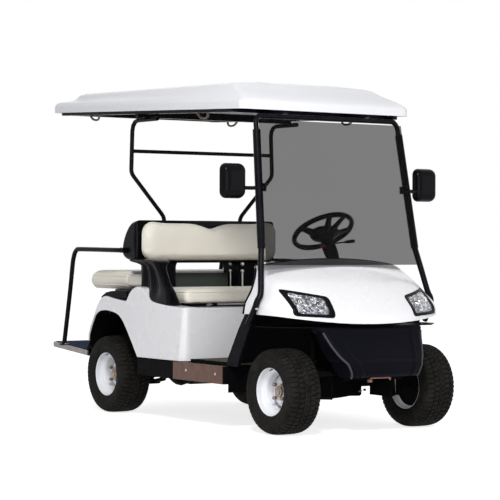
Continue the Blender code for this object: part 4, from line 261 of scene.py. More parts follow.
def brushed(name, colour, roughness, scale=(8, 900, 900)):
    """Brushed metal: fine lines along X or the longest side, with slight stains."""
    look = Look(name, colour, roughness, metallic=1.0)
    lines = look.noise(1.0, 3.0, 0.6, look.stretched(scale))
    stain = look.span(look.noise(18.0, 6.0, 0.7), 0.35, 0.75, 0, 1)
    look.link(look.mixed(stain, colour, [c * 0.62 for c in colour]), "Base Color")
    look.roughen(lines, roughness - 0.10, roughness + 0.18)
    look.bump(lines, 0.00012)
    return look.material


def zinc(name, colour, roughness):
    """Plated steel of bolts, springs and small fittings."""
    look = Look(name, colour, roughness, metallic=1.0)
    spangle = look.span(look.cells(260.0, "F1"), 0.0, 0.8, 0, 1)
    look.link(look.mixed(spangle, colour, [c * 0.72 for c in colour]), "Base Color")
    look.roughen(look.noise(160.0, 5.0, 0.7), roughness - 0.08, roughness + 0.15)
    look.bump(look.noise(900.0, 3.0), 0.00006)
    return look.material


def smoked(name):
    """Tinted acrylic sheet: neutral grey, faintly uneven, with a weak reflection."""
    look = Look(name, (0.004, 0.004, 0.004), 0.05, Specular_IOR_Level=0.03, Alpha=0.555)
    look.roughen(look.noise(5.0, 4.0), 0.03, 0.08)
    look.link(look.span(look.noise(1.4, 2.0), 0.3, 0.7, 0.552, 0.560), "Alpha")
    look.bump(look.noise(1.8, 1.0), 0.0004)
    return look.material


def clear_lens(name):
    """Moulded clear plastic over a lamp."""
    look = Look(name, (0.96, 0.97, 1.0), 0.03, Transmission_Weight=1.0, IOR=1.45, Specular_IOR_Level=0.5)
    look.roughen(look.noise(40.0, 4.0), 0.01, 0.06)
    look.bump(look.noise(90.0, 2.0), 0.00010)
    return look.material


def painted_glints(name, bright, dark):
    """Metallised plastic with painted reflections: noise patches of light and dark in its colour stand in for the light
    and dark its faceted surface would reflect.
    """
    look = Look(name, bright, 0.14, Metallic=1.0)
    share = look.span(look.noise(62.0, 2.0), 0.44, 0.58, 0, 1)
    # painted reflection: light and dark patches mixed into the metal's colour
    look.link(look.mixed(share, bright, dark), "Base Color")
    look.roughen(look.noise(90.0, 2.0), 0.10, 0.22)
    return look.material


def woven_mat(name, colour):
    """Ribbed rubber mat with earth in its grooves."""
    look = Look(name, colour, 0.88, Specular_IOR_Level=0.3)
    ribs = look.add(
        "ShaderNodeTexWave", {"bands_direction": "X", "wave_profile": "SAW"}, Vector=look.place, Scale=34.0
    ).outputs["Fac"]
    specks = look.noise(180.0, 7.0, 0.75)
    share = look.span(look.sum(specks, look.noise(12.0, 5.0), "MULTIPLY"), 0.12, 0.45, 0, 1)
    look.link(look.mixed(share, [c * 0.55 for c in colour], [c * 1.5 for c in colour]), "Base Color")
    look.roughen(specks, 0.75, 0.98)
    look.bump(specks, 0.0009)
    look.bump(ribs, 0.0011)
    return look.material


BLACK = (0.0030, 0.0030, 0.0042)
LOOKS = {
    "body_white": painted("body_white", (0.82, 0.815, 0.83), 0.26),
    "roof_white": painted("roof_white", (0.78, 0.78, 0.80), 0.38, 0.000003, 0.15),
    "cream_vinyl": vinyl("cream_vinyl", (0.87, 0.825, 0.72)),
    "moulded_black": moulded("moulded_black", BLACK, 0.40),
    "gloss_black": moulded("gloss_black", (0.0026, 0.0026, 0.0038), 0.22, 0.00004, 700.0, 0.06),
    "bumper_black": moulded("bumper_black", (0.0034, 0.0034, 0.0062), 0.45, 0.00010, 800.0, 0.03),
    # painted reflection: the black dash pad is coloured mid grey for the sheen it shows under the glass
    "dash_painted_reflection": moulded("dash_painted_reflection", (0.42, 0.42, 0.43), 0.45, 0.00010, 800.0, 0.10),
    "grip_bronze": painted("grip_bronze", (0.115, 0.070, 0.048), 0.45, 0.000004, 0.1),
    # painted highlight: a lighter grey for the tubes along the bumper's pressed edges
    "ridge_painted_highlight": moulded("ridge_painted_highlight", (0.030, 0.030, 0.032), 0.35, 0.00006, 800.0, 0.30),
    "panel_black": moulded("panel_black", (0.055, 0.062, 0.056), 0.50, 0.00015, 700.0, 0.12),
    "navy_mat": moulded("navy_mat", (0.005, 0.012, 0.038), 0.60, 0.00030, 500.0, 0.02),
    "nosing": brushed("nosing", (0.30, 0.27, 0.265), 0.42),
    "switch_red": painted("switch_red", (0.35, 0.008, 0.020), 0.35, 0.000004, 0.3),
    "pink_steel": chassis_steel("pink_steel", (0.42, 0.20, 0.17), 0.45),
    "tube_black": powder_coated("tube_black", (0.0026, 0.0028, 0.0044), 0.28),
    "chassis_black": chassis_steel("chassis_black", (0.0030, 0.0030, 0.0036), 0.52),
    "rubber": rubber("rubber", (0.0075, 0.0075, 0.0070)),
    "wheel_white": painted("wheel_white", (0.78, 0.79, 0.82), 0.30, 0.000003, 0.3),
    "trim_aluminium": brushed("trim_aluminium", (0.145, 0.085, 0.066), 0.42),
    "bare_metal": zinc("bare_metal", (0.58, 0.57, 0.55), 0.32),
    "bronze": zinc("bronze", (0.36, 0.29, 0.235), 0.36),
    "smoked_glass": smoked("smoked_glass"),
    "lamp_lens": clear_lens("lamp_lens"),
    "tail_red": painted("tail_red", (0.42, 0.010, 0.012), 0.18, 0.00002, 0.8),
    "floor_mat": woven_mat("floor_mat", (0.105, 0.088, 0.062)),
    # the lamp reflector's colour carries painted reflections
    "reflector": painted_glints("reflector", (0.80, 0.80, 0.82), (0.12, 0.12, 0.13)),
    "mirror_glass": brushed("mirror_glass", (0.72, 0.74, 0.76), 0.13, (3, 3, 3)),
}


# Shading of the carried-over solids
def smoothing_group(degrees):
    """Geometry nodes that shade faces smooth, and keep edges sharper than this angle."""
    group = bpy.data.node_groups.new(f"smooth_{degrees}", "GeometryNodeTree")
    for way in ("INPUT", "OUTPUT"):
        group.interface.new_socket("Geometry", in_out=way, socket_type="NodeSocketGeometry")
    add, link = group.nodes.new, group.links.new
    start, end = add("NodeGroupInput"), add("NodeGroupOutput")
    angle, compare = add("GeometryNodeInputMeshEdgeAngle"), add("FunctionNodeCompare")
    compare.operation = "LESS_THAN"
    compare.inputs["B"].default_value = math.radians(degrees)
    faces, edges = add("GeometryNodeSetShadeSmooth"), add("GeometryNodeSetShadeSmooth")
    faces.domain, edges.domain = "FACE", "EDGE"
    faces.inputs["Shade Smooth"].default_value = True
    link(angle.outputs["Unsigned Angle"], compare.inputs["A"])
    link(compare.outputs["Result"], edges.inputs["Shade Smooth"])
    link(start.outputs[0], faces.inputs["Geometry"])
    link(faces.outputs["Geometry"], edges.inputs["Geometry"])
    link(edges.outputs["Geometry"], end.inputs[0])
    return group


GROUPS = {}


def shade(obj, degrees=48, weld=True, edge=0.0, segments=2):
    """Smooth shading that keeps hard edges, with a small rounded edge where asked."""
    if weld:
        obj.modifiers.new("weld", "WELD").merge_threshold = 0.02 * MM
    if edge:
        bevel = obj.modifiers.new("edge", "BEVEL")
        bevel.width = edge
        bevel.segments = segments
        bevel.limit_method = "ANGLE"
        bevel.angle_limit = math.radians(38)
        bevel.use_clamp_overlap = True
    if degrees not in GROUPS:
        GROUPS[degrees] = smoothing_group(degrees)
    obj.modifiers.new("smooth", "NODES").node_group = GROUPS[degrees]
    obj.modifiers.new("weighted", "WEIGHTED_NORMAL").keep_sharp = True
    return obj


def dress(node, look, **how):
    """A carried-over CAD node with its material and shading."""
    obj = NODES[node]
    obj.data.materials.clear()
    obj.data.materials.append(LOOKS[look])
    shade(obj, **how)


CARRIED = {
    "chassis_black": (
        "frame floor_pan front_suspension_l front_suspension_r knuckle_l knuckle_r rack_housing rear_axle seat_base "
        "tie_rods rear_spring_l rear_spring_r rear_shock_l rear_shock_r battery_pack"
    ),
    "moulded_black": (
        "backrest_shell dashboard front_bumper front_liner hip_bracket_l hip_bracket_r pedals rear_deck "
        "rear_seat_board mirror_l mirror_r steering_column"
    ),
    "tube_black": "grab_bar_l grab_bar_r rear_struts roof_rails windscreen_frame",
    "body_white": "front_cowl rear_body",
    "roof_white": "roof",
    "trim_aluminium": "sill_trim_l sill_trim_r footplate",
    "bare_metal": "seat_hinge_pin",
    "lamp_lens": "headlamp_l headlamp_r",
    "tail_red": "tail_lamp_l tail_lamp_r",
    "gloss_black": "steering_wheel",
    "smoked_glass": "windscreen",
}


def dress_frame():
    for look, names in CARRIED.items():
        for name in names.split():
            dress(name, look)


# Mesh building: every piece is made from its own points and faces
class Shape:
    """Points and faces gathered for one piece."""

    def __init__(self):
        self.points = []
        self.faces = []

    def grid(self, rows, wrap_rows=False, wrap_columns=False):
        """Quads over rows of points; a wrapped direction joins its last to its first."""
        start, count = len(self.points), len(rows[0])
        for row in rows:
            self.points += [Vector(p) for p in row]
        for i in range(len(rows) if wrap_rows else len(rows) - 1):
            for j in range(count if wrap_columns else count - 1):
                below, above = start + i * count, start + ((i + 1) % len(rows)) * count
                beside = (j + 1) % count
                self.faces.append((below + j, below + beside, above + beside, above + j))
        return self

    def cap(self, ring):
        """One flat face over a ring of points."""
        start = len(self.points)
        self.points += [Vector(p) for p in ring]
        self.faces.append(tuple(range(start, start + len(ring))))
        return self

    def loft(self, rings):
        """A closed solid through rings, capped at both ends."""
        self.grid(rings, wrap_columns=True)
        self.cap(rings[0])
        return self.cap(rings[-1])

    def box(self, low, high):
        (x0, y0, z0), (x1, y1, z1) = low, high
        rings = [[(x0, y0, z), (x1, y0, z), (x1, y1, z), (x0, y1, z)] for z in (z0, z1)]
        return self.loft(rings)

    def rod(self, start, end, radii, sides=20):
        """A round bar through stations spread evenly from start to end, or at (share, radius) pairs."""
        start, end = Vector(start), Vector(end)
        first, second = square_to(end - start)
        stations = radii if isinstance(radii[0], tuple) else [(i / (len(radii) - 1), r) for i, r in enumerate(radii)]
        rings = []
        for share, radius in stations:
            centre = start.lerp(end, share)
            rings.append([centre + radius * turn for turn in turns(first, second, sides)])
        return self.loft(rings)

    def tube(self, path, radius, sides=12, closed=False):
        """A round tube along a path."""
        path = [Vector(p) for p in path]
        count = len(path)
        steps = [(path[(i + 1) % count] - path[i]).normalized() for i in range(count if closed else count - 1)]
        first, second = square_to(steps[0])
        rings = []
        for i, point in enumerate(path):
            before = steps[i - 1] if closed else steps[max(i - 1, 0)]
            after = steps[i % len(steps)] if closed else steps[min(i, len(steps) - 1)]
            middle = (before + after).normalized()
            swing = before.rotation_difference(middle)
            rings.append([point + radius * (swing @ turn) for turn in turns(first, second, sides)])
            bend = before.rotation_difference(after)
            first, second = bend @ first, bend @ second
        if closed:
            return self.grid(rings, wrap_rows=True, wrap_columns=True)
        return self.loft(rings)

    def spun(self, profile, sides, centre=(0, 0, 0), axis=(1, 0, 0), closed=False):
        """A profile of (along, radius) points turned about an axis."""
        axis = Vector(axis).normalized()
        first, second = square_to(axis)
        rows = []
        for along, radius in profile:
            middle = Vector(centre) + along * axis
            rows.append([middle + radius * turn for turn in turns(first, second, sides)])
        return self.grid(rows, wrap_rows=closed, wrap_columns=True)

    def object(self, name, look, degrees=40, edge=0.0, segments=2, weld=0.01 * MM):
        """The finished object, its doubled points joined and its faces turned outwards."""
        bm = bmesh.new()
        made = [bm.verts.new(p) for p in self.points]
        for face in self.faces:
            corners = [made[i] for i in face]
            if len(set(corners)) > 2:
                bm.faces.new(corners)
        bmesh.ops.remove_doubles(bm, verts=bm.verts, dist=weld)
        bmesh.ops.dissolve_degenerate(bm, edges=bm.edges, dist=weld)
        bmesh.ops.recalc_face_normals(bm, faces=bm.faces)
        mesh = bpy.data.meshes.new(name)
        bm.to_mesh(mesh)
        bm.free()
        obj = bpy.data.objects.new(name, mesh)
        bpy.context.scene.collection.objects.link(obj)
        mesh.materials.append(LOOKS[look])
        shade(obj, degrees, weld=False, edge=edge, segments=segments)
        return obj


def square_to(direction):
    """Two unit vectors square to a direction and to each other."""
    direction = Vector(direction).normalized()
    helper = Vector((1, 0, 0)) if abs(direction.z) > 0.9 else Vector((0, 0, 1))
    first = direction.cross(helper).normalized()
    return first, direction.cross(first).normalized()


def turns(first, second, sides):
    """Unit vectors round a circle."""
    angles = [2 * math.pi * i / sides for i in range(sides)]
    return [math.cos(a) * first + math.sin(a) * second for a in angles]


def applied(obj):
    """Writes an object's modifiers into its mesh."""
    bpy.context.view_layer.update()
    graph = bpy.context.evaluated_depsgraph_get()
    mesh = bpy.data.meshes.new_from_object(obj.evaluated_get(graph))
    obj.modifiers.clear()
    obj.data = mesh
    return obj


def cut_from(obj, cutter):
    """Cuts one object out of another for good."""
    obj.modifiers.clear()
    cutter.modifiers.clear()
    cut = obj.modifiers.new("cut", "BOOLEAN")
    cut.operation = "DIFFERENCE"
    cut.solver = "EXACT"
    cut.object = cutter
    applied(obj)
    bpy.data.objects.remove(cutter, do_unlink=True)
    return obj


def curved(p0, p1, p2, p3, t):
    """A point, or a number, at share t of the smooth curve from p1 to p2."""
    return 0.5 * (
        2 * p1 + (p2 - p0) * t + (2 * p0 - 5 * p1 + 4 * p2 - p3) * t * t + (3 * p1 - p0 - 3 * p2 + p3) * t * t * t
    )


def smooth_path(corners, steps=8, closed=False):
    """A smooth curve through points."""
    points = [Vector(p) for p in corners]
    count = len(points)
    path = []
    for i in range(count if closed else count - 1):
        if closed:
            p0, p1, p2, p3 = (points[(i + k) % count] for k in (-1, 0, 1, 2))
        else:
            p1, p2 = points[i], points[i + 1]
            p0 = points[i - 1] if i else 2 * p1 - p2
            p3 = points[i + 2] if i + 2 < count else 2 * p2 - p1
        path += [curved(p0, p1, p2, p3, step / steps) for step in range(steps)]
    if not closed:
        path.append(points[-1])
    return path


def side_path(outline, steps):
    """A smooth side outline through (y, z) points."""
    return [(p.y, p.z) for p in smooth_path([(0, y, z) for y, z in outline], steps)]


def between(table, value):
    """The values read off a table of (place, values...) rows, joined by straight lines."""
    if value <= table[0][0]:
        return table[0][1:]
    for low, high in zip(table, table[1:]):
        if value <= high[0]:
            t = (value - low[0]) / (high[0] - low[0])
            return tuple(a + (b - a) * t for a, b in zip(low[1:], high[1:]))
    return table[-1][1:]


def rounded(half_a, half_b, corner, steps):
    """The four corners of a rounded rectangle about the origin, each a list of points."""
    corners = []
    for quarter, (sa, sb) in enumerate(QUARTERS):
        middle_a, middle_b = sa * (half_a - corner), sb * (half_b - corner)
        angles = [math.pi / 2 * (quarter + i / steps) for i in range(steps + 1)]
        corners.append([(middle_a + corner * math.cos(a), middle_b + corner * math.sin(a)) for a in angles])
    return corners


def across(side, inner, outer):
    """The two X limits of something on one side, lower first."""
    return sorted((side * inner, side * outer))


def slab(low, high, y, bottom, top):
    """A rectangle square to the Y axis."""
    return [(low, y, bottom), (high, y, bottom), (high, y, top), (low, y, top)]


def placed(piece, slot, *nodes, body="chassis"):
    """Rides a piece on its body and hides the nodes it stands for; the finish it is given as slot is not used."""
    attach(piece, body)
    if nodes:
        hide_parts(*nodes)
    return piece


# Wheels
TREAD_LUGS = 52
TREAD_DEPTH = 0.0068
# The tread's outer skin: distance from the middle along the axle, and radius
TREAD_SKIN = (
    (0.000, 0.2300), (0.030, 0.2297), (0.052, 0.2289), (0.070, 0.2268), (0.081, 0.2232), (0.0905, 0.2172),
    (0.0965, 0.2085), (0.0985, 0.2010),
)
# The carcass under it, from the bead outwards
CARCASS = (
    (0.0850, 0.1285), (0.0880, 0.1310), (0.0905, 0.1370), (0.0945, 0.1415), (0.0965, 0.1450), (0.0950, 0.1490),
    (0.0970, 0.1530), (0.0995, 0.1620), (0.1002, 0.1640), (0.1006, 0.1660), (0.1012, 0.1740), (0.1014, 0.1830),
    (0.1007, 0.1910), (0.1008, 0.1930), (0.0990, 0.1985), (0.0955, 0.2060), (0.0900, 0.2120), (0.0830, 0.2163),
    (0.0700, 0.2200), (0.0520, 0.2221), (0.0300, 0.2229), (0.0000, 0.2232),
)
RIM_SIDES = 96


# Each ring of a tread lug from its top down: how far it stands in from the lug's edges, and its depth
LUG_RINGS = ((0.0009, 0.0), (-0.0002, 0.0012), (-0.0012, TREAD_DEPTH + 0.001))


def tread_block(shape, side, low, high, middle, span, wave, steps):
    """One tread lug between two distances along the axle, round an angle, its edges waved."""
    rows = []
    for grow, drop in LUG_RINGS:
        ring = []
        for i in range(steps + 1):
            row = []
            for j in range(3):
                share = i / steps
                along = low + grow + (high - low - 2 * grow) * share
                radius = between(TREAD_SKIN, min(along, TREAD_SKIN[-1][0]))[0]
                half = span / 2 - grow / TYRE_RADIUS
                angle = middle + wave(share) + (j - 1) * half
                lean = max(0.0, (along - 0.075) / 0.025)
                place = side * (along - drop * lean * 0.5)
                reach = radius - drop * (1 - 0.3 * lean)
                row.append((place, reach * math.sin(angle), reach * math.cos(angle)))
            ring.append(row)
        rows.append(ring)
    shape.grid(rows[0])
    rim = []
    for ring in rows:
        edge = [ring[0][j] for j in range(3)] + [ring[i][2] for i in range(1, steps + 1)]
        edge += [ring[steps][j] for j in (1, 0)] + [ring[i][0] for i in range(steps - 1, 0, -1)]
        rim.append(edge)
    shape.grid(rim, wrap_columns=True)


def make_tyre_mesh():
    """One tyre about the origin: carcass, shoulder lugs, inner lugs and the lugs of the middle."""
    shape = Shape()
    inner = [(-0.078, 0.1290), (-0.088, 0.165), (-0.080, 0.208), (0.0, 0.2150), (0.080, 0.208), (0.088, 0.165)]
    profile = [*CARCASS, *((-x, r) for x, r in CARCASS[-2::-1]), *inner, (0.078, 0.1290)]
    shape.spun(profile, RIM_SIDES, closed=True)
    pitch = 2 * math.pi / TREAD_LUGS
    for side in (1, -1):

        def shoulder_wave(share, side=side):
            return side * 0.016 * math.sin(share * 3.0)

        def inner_wave(share, side=side):
            return side * (0.050 * (share - 0.5) + 0.020 * math.sin(2 * math.pi * share))

        for i in range(TREAD_LUGS):
            middle = i * pitch + (0.5 * pitch if side < 0 else 0)
            tread_block(shape, side, 0.0560, 0.0975, middle, pitch * 0.70, shoulder_wave, 6)
            tread_block(shape, side, 0.0205, 0.0500, middle + 0.3 * pitch, pitch * 0.72, inner_wave, 3)

    def centre_wave(share):
        return 0.045 * math.sin(math.pi * (share - 0.5))

    for i in range(TREAD_LUGS):
        for side in (1, -1):
            tread_block(shape, side, 0.0006, 0.0155, i * pitch, pitch * 0.78, centre_wave, 2)
    return shape.object("tyre", "rubber", 34)


def make_tyres():
    master = make_tyre_mesh()
    for label in WHEELS:
        tyre = master.copy()
        tyre.name = f"tyre_tread_{label}"
        place_wheel(tyre, label, "rubber", f"tyre_{label}")
    bpy.data.objects.remove(master, do_unlink=True)


def place_wheel(obj, label, slot, *nodes):
    """Puts a wheel's piece at its hub, its outer face out, and lets it turn with the wheel."""
    bpy.context.scene.collection.objects.link(obj)
    centre = centre_of(f"tyre_{label}")
    obj.location = (centre.x, centre.y, TYRE_RADIUS)
    if centre.x < 0:
        obj.rotation_euler.z = math.pi
    placed(obj, slot, *nodes, body=f"wheel_{label}")


# The barrel's inner face seen from outside, lip first, then the back face outwards
RIM_BARREL = (
    (0.0868, 0.1384), (0.0892, 0.1386), (0.0900, 0.1374), (0.0892, 0.1358), (0.0872, 0.1340), (0.0850, 0.1305),
    (0.0842, 0.1268), (0.0825, 0.1246), (0.0790, 0.1238), (0.0600, 0.1228), (0.0540, 0.1206), (0.0480, 0.1150),
    (0.0420, 0.1050), (0.0370, 0.1012), (0.0300, 0.1004), (-0.0360, 0.1004), (-0.0430, 0.1030), (-0.0560, 0.1215),
    (-0.0620, 0.1230), (-0.0840, 0.1240), (-0.0860, 0.1300), (-0.0895, 0.1370), (-0.0890, 0.1385), (-0.0868, 0.1382),
    (-0.0858, 0.1340), (-0.0845, 0.1285), (-0.0560, 0.1266), (-0.0360, 0.1040), (0.0360, 0.1040), (0.0560, 0.1266),
    (0.0838, 0.1285), (0.0856, 0.1340),
)
# The disc's outer face from its weld at the well to the hub hole, then its back
RIM_DISC = (
    (-0.0290, 0.1008), (-0.0200, 0.1000), (-0.0110, 0.0965), (-0.0040, 0.0900), (0.0020, 0.0800), (0.0090, 0.0700),
    (0.0160, 0.0640), (0.0205, 0.0600), (0.0212, 0.0560), (0.0200, 0.0420), (0.0206, 0.0380), (0.0206, 0.0320),
    (0.0170, 0.0320), (0.0170, 0.0560), (0.0120, 0.0610), (0.0050, 0.0680), (-0.0030, 0.0780), (-0.0085, 0.0880),
    (-0.0150, 0.0930), (-0.0230, 0.0950), (-0.0290, 0.0960),
)
VENTS = 10
VENT_RADIUS = 0.0115
VENT_PLACE = (-0.001, 0.0835)
LUG_NUTS = 4
LUG_CIRCLE = 0.0508
# Washer, nut and stud: start and end along the axle, radii and sides
NUT_RODS = (
    (0.000, 0.005, [0.0085, 0.0105], 24),
    (0.004, 0.019, [(0, 0.0105), (0.85, 0.0105), (1, 0.0085)], 6),
    (0.018, 0.024, [(0, 0.006), (0.8, 0.006), (1, 0.0045)], 16),
)
HUB_CAP = (
    (0.0190, 0.0318), (0.0300, 0.0314), (0.0335, 0.0300), (0.0345, 0.0270), (0.0352, 0.0215), (0.0400, 0.0200),
    (0.0418, 0.0170), (0.0424, 0.0090), (0.0424, 0.0),
)


def make_rim_parts():
    barrel = Shape().spun(RIM_BARREL, RIM_SIDES, closed=True).object("rim_barrel", "wheel_white", 60)
    disc = Shape().spun(RIM_DISC, RIM_SIDES, closed=True).object("rim_disc", "wheel_white", 50)
    vents = Shape()
    for i in range(VENTS):
        angle = 2 * math.pi * (i + 0.5) / VENTS
        out = Vector((0, math.sin(angle), math.cos(angle)))
        across = Vector((0, math.cos(angle), -math.sin(angle)))
        along = Vector((1, 0, 0)) + 0.55 * out
        middle = Vector((VENT_PLACE[0], 0, 0)) + VENT_PLACE[1] * out
        ends = []
        for reach in (-0.03, 0.03):
            ring = []
            for k in range(16):
                a = 2 * math.pi * k / 16
                ring.append(
                    middle + along * reach + 0.60 * VENT_RADIUS * math.cos(a) * out + VENT_RADIUS * math.sin(a) * across
                )
            ends.append(ring)
        vents.loft(ends)
    cutter = vents.object("vents", "wheel_white")
    cut_from(disc, cutter)
    shade(disc, 40, weld=False, edge=0.0008)
    nuts = Shape()
    for i in range(LUG_NUTS):
        angle = 2 * math.pi * (i + 0.5) / LUG_NUTS
        foot = Vector((0.0205, LUG_CIRCLE * math.sin(angle), LUG_CIRCLE * math.cos(angle)))
        for low, high, radii, sides in NUT_RODS:
            nuts.rod(foot + Vector((low, 0, 0)), foot + Vector((high, 0, 0)), radii, sides)
    studs = nuts.object("lug_nuts", "bronze", 40, edge=0.0006)
    cap = Shape().spun(HUB_CAP, 48).object("hub_cap", "bronze", 40)
    valve = Shape().rod((0.070, 0, 0.121), (0.088, 0, 0.113), [(0, 0.004), (0.3, 0.0032), (1, 0.0026)], 14)
    stem = valve.object("valve_stem", "rubber", 50)
    return barrel, disc, studs, cap, stem


def make_rims():
    parts = make_rim_parts()
    for label in WHEELS:
        for part in parts:
            copy = part.copy()
            copy.name = f"{part.name}_{label}"
            slot = "rubber" if part.name == "valve_stem" else "wheel_white"
            place_wheel(copy, label, slot, *([f"rim_{label}"] if part.name == "rim_barrel" else []))
    for part in parts:
        bpy.data.objects.remove(part, do_unlink=True)


# Seats: vinyl cushions swollen by a cloth simulation, with piped seams laid on afterwards
VOXEL = 7 * MM
CLOTH_FRAMES = 20
END_STEPS = 10
PIPING_RADIUS = 2.6 * MM
SEAM_STEPS = 8
SEAM_SPACING = 12 * MM


def cushion_form(low, high, corner, end, shrink, dip=0.0):
    """A cushion with a rounded section along X and rounded ends; dip lowers the middle of its top edge."""
    low, high = Vector(low) + Vector(shrink), Vector(high) - Vector(shrink)
    middle, half = (low + high) / 2, (high - low) / 2
    end = min(end, half.z * 0.92)
    stations = [half.x - end + end * math.sin(math.pi / 2 * i / END_STEPS) for i in range(END_STEPS + 1)]
    flat = [-(half.x - end) + (2 * (half.x - end)) * i / 40 for i in range(1, 40)]
    rings = []
    for x in [-x for x in stations[::-1]] + flat + stations:
        reach = max(0.0, abs(x) - (half.x - end))
        inset = end - math.sqrt(max(0.0, end * end - reach * reach))
        drop = dip * max(0.0, 1 - abs(x) / 0.15) ** 1.6
        half_y = half.y - inset * min(0.75, half.y / end * 0.9)
        half_z = half.z - inset - drop / 2
        section = sum(rounded(half_y, half_z, min(corner, half_y * 0.95, half_z * 0.95), 6), [])
        rings.append([(middle.x + x, middle.y + y, middle.z - drop / 2 + z) for y, z in section])
    return Shape().loft(rings)


def swell(obj, most, floor=None, back=None):
    """Swells a closed mesh by cloth pressure, caps how far each point moves, and keeps its resting sides flat."""
    remesh = obj.modifiers.new("voxels", "REMESH")
    remesh.mode = "VOXEL"
    remesh.voxel_size = VOXEL
    applied(obj)
    start = [v.co.copy() for v in obj.data.vertices]
    cloth = obj.modifiers.new("swell", "CLOTH")
    cloth.settings.use_pressure = True
    cloth.settings.uniform_pressure_force = 4.0
    cloth.settings.effector_weights.gravity = 0.0
    cloth.point_cache.frame_start = 1
    cloth.point_cache.frame_end = CLOTH_FRAMES
    for number in range(1, CLOTH_FRAMES + 1):
        bpy.context.scene.frame_set(number)
    applied(obj)
    bpy.context.scene.frame_set(1)
    for vertex, was in zip(obj.data.vertices, start):
        move = vertex.co - was
        if move.length > most:
            vertex.co = was + move * (most / move.length)
        if floor is not None:
            vertex.co.z = max(vertex.co.z, floor)
        if back is not None and back > was.y:
            vertex.co.y = min(vertex.co.y, back)
    even = obj.modifiers.new("even", "SMOOTH")
    even.factor = 0.5
    even.iterations = 6
    return applied(obj)


def seam_line(obj, flat_axis, level, half_a, half_b, corner, centre):
    """Points where a rounded rectangle at one level meets the cushion, found by rays from outside."""
    tree = BVHTree.FromPolygons([v.co for v in obj.data.vertices], [tuple(p.vertices) for p in obj.data.polygons])
    path = []
    for quarter, arc in enumerate(rounded(half_a, half_b, corner, SEAM_STEPS)):
        for i, point in enumerate(arc):
            angle = math.pi / 2 * (quarter + i / SEAM_STEPS)
            path.append((*point, math.cos(angle), math.sin(angle)))
    dense = []
    for first, second in zip(path, path[1:] + path[:1]):
        count = max(1, int(math.hypot(second[0] - first[0], second[1] - first[1]) / SEAM_SPACING))
        for k in range(count):
            dense.append([a + (b - a) * (k / count) for a, b in zip(first, second)])
    found = []
    for a, b, out_a, out_b in dense:
        if flat_axis == "z":
            place, out = Vector((centre.x + a, centre.y + b, level)), Vector((out_a, out_b, 0))
        else:
            place, out = Vector((centre.x + a, level, centre.z + b)), Vector((out_a, 0, out_b))
        hit = tree.ray_cast(place + out * 0.08, -out, 0.25)[0]
        if hit is not None:
            found.append(hit)
    for _ in range(4):
        found = [(found[i - 1] + 2 * p + found[(i + 1) % len(found)]) / 4 for i, p in enumerate(found)]
    return found


def sew(obj, line, depth=2.2 * MM, reach=13 * MM):
    """Draws the cushion in along a seam."""
    near = KDTree(len(line))
    for i, point in enumerate(line):
        near.insert(point, i)
    near.balance()
    normals = [v.normal.copy() for v in obj.data.vertices]
    for vertex, normal in zip(obj.data.vertices, normals):
        gap = near.find(vertex.co)[2]
        if gap < reach:
            share = 1 - gap / reach
            vertex.co -= normal * depth * share * share * (3 - 2 * share)
    obj.data.update()


def make_cushion(
    name, node, body, corner, end, shrink, most, seams, rest=None, fill=0.7, squat=1.0, **form
):
    """A swollen cushion with a piped line at each seam: the axis it is square to, its height and its corners."""
    low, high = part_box(node)
    obj = cushion_form(low, high, corner, end, shrink, **form).object(name, "cream_vinyl", 60)
    obj.modifiers.clear()
    swell(obj, most, low.z if rest == "floor" else None, high.y if rest == "back" else None)
    for vertex in obj.data.vertices:
        vertex.co.z = low.z + (vertex.co.z - low.z) * squat
    high = Vector((high.x, high.y, low.z + (high.z - low.z) * squat))
    centre, half = (low + high) / 2, (high - low) / 2
    lines = []
    for axis, share, round_off in seams:
        bottom, top, half_b = (low.z, high.z, half.y) if axis == "z" else (low.y, high.y, half.z)
        line = seam_line(obj, axis, bottom + share * (top - bottom), half.x, half_b, round_off, centre)
        sew(obj, line)
        lines.append(line)
    for polygon in obj.data.polygons:
        polygon.use_smooth = True
    for i, line in enumerate(lines):
        pipe = Shape().tube(line, PIPING_RADIUS, 8, closed=True).object(f"{name}_piping_{i}", "cream_vinyl", 60)
        placed(pipe, "cream_vinyl", body=body)
    placed(obj, "cream_vinyl", node, body=body)


def make_seats():
    make_cushion(
        "seat_cushion_cover", "seat_cushion", "seat", 0.020, 0.034, (0.004, 0.003, 0.001), 0.008,
        (("z", 0.80, 0.030),), rest="floor", fill=0.75, squat=0.86,
    )
    make_cushion(
        "rear_cushion_cover", "rear_cushion", "chassis", 0.036, 0.046, (0.004, 0.000, 0.002), 0.012,
        (("z", 0.76, 0.05), ("z", 0.24, 0.05)), rest="floor", fill=0.75,
    )
    make_cushion(
        "front_backrest_cover", "front_backrest", "chassis", 0.036, 0.075, (0.002, 0.003, 0.000), 0.012,
        (("y", 0.62, 0.075),), dip=0.036, rest="back", fill=0.75,
    )
    make_cushion(
        "rear_backrest_cover", "rear_backrest", "chassis", 0.026, 0.065, (0.006, 0.006, 0.006), 0.010,
        (("y", 0.40, 0.065),), fill=0.7,
    )


# Body panels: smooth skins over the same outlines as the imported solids
def rows_between(rows, steps):
    """Rows of numbers joined by smooth curves that never pass their ends, with a count of steps for each stretch."""
    found = []
    last = len(rows) - 1
    for i in range(last):
        before, here, there, after = rows[max(i - 1, 0)], rows[i], rows[i + 1], rows[min(i + 2, last)]
        for step in range(steps[i]):
            row = []
            for p0, p1, p2, p3 in zip(before, here, there, after):
                row.append(min(max(curved(p0, p1, p2, p3, step / steps[i]), min(p1, p2)), max(p1, p2)))
            found.append(tuple(row))
    return found + [tuple(rows[-1])]


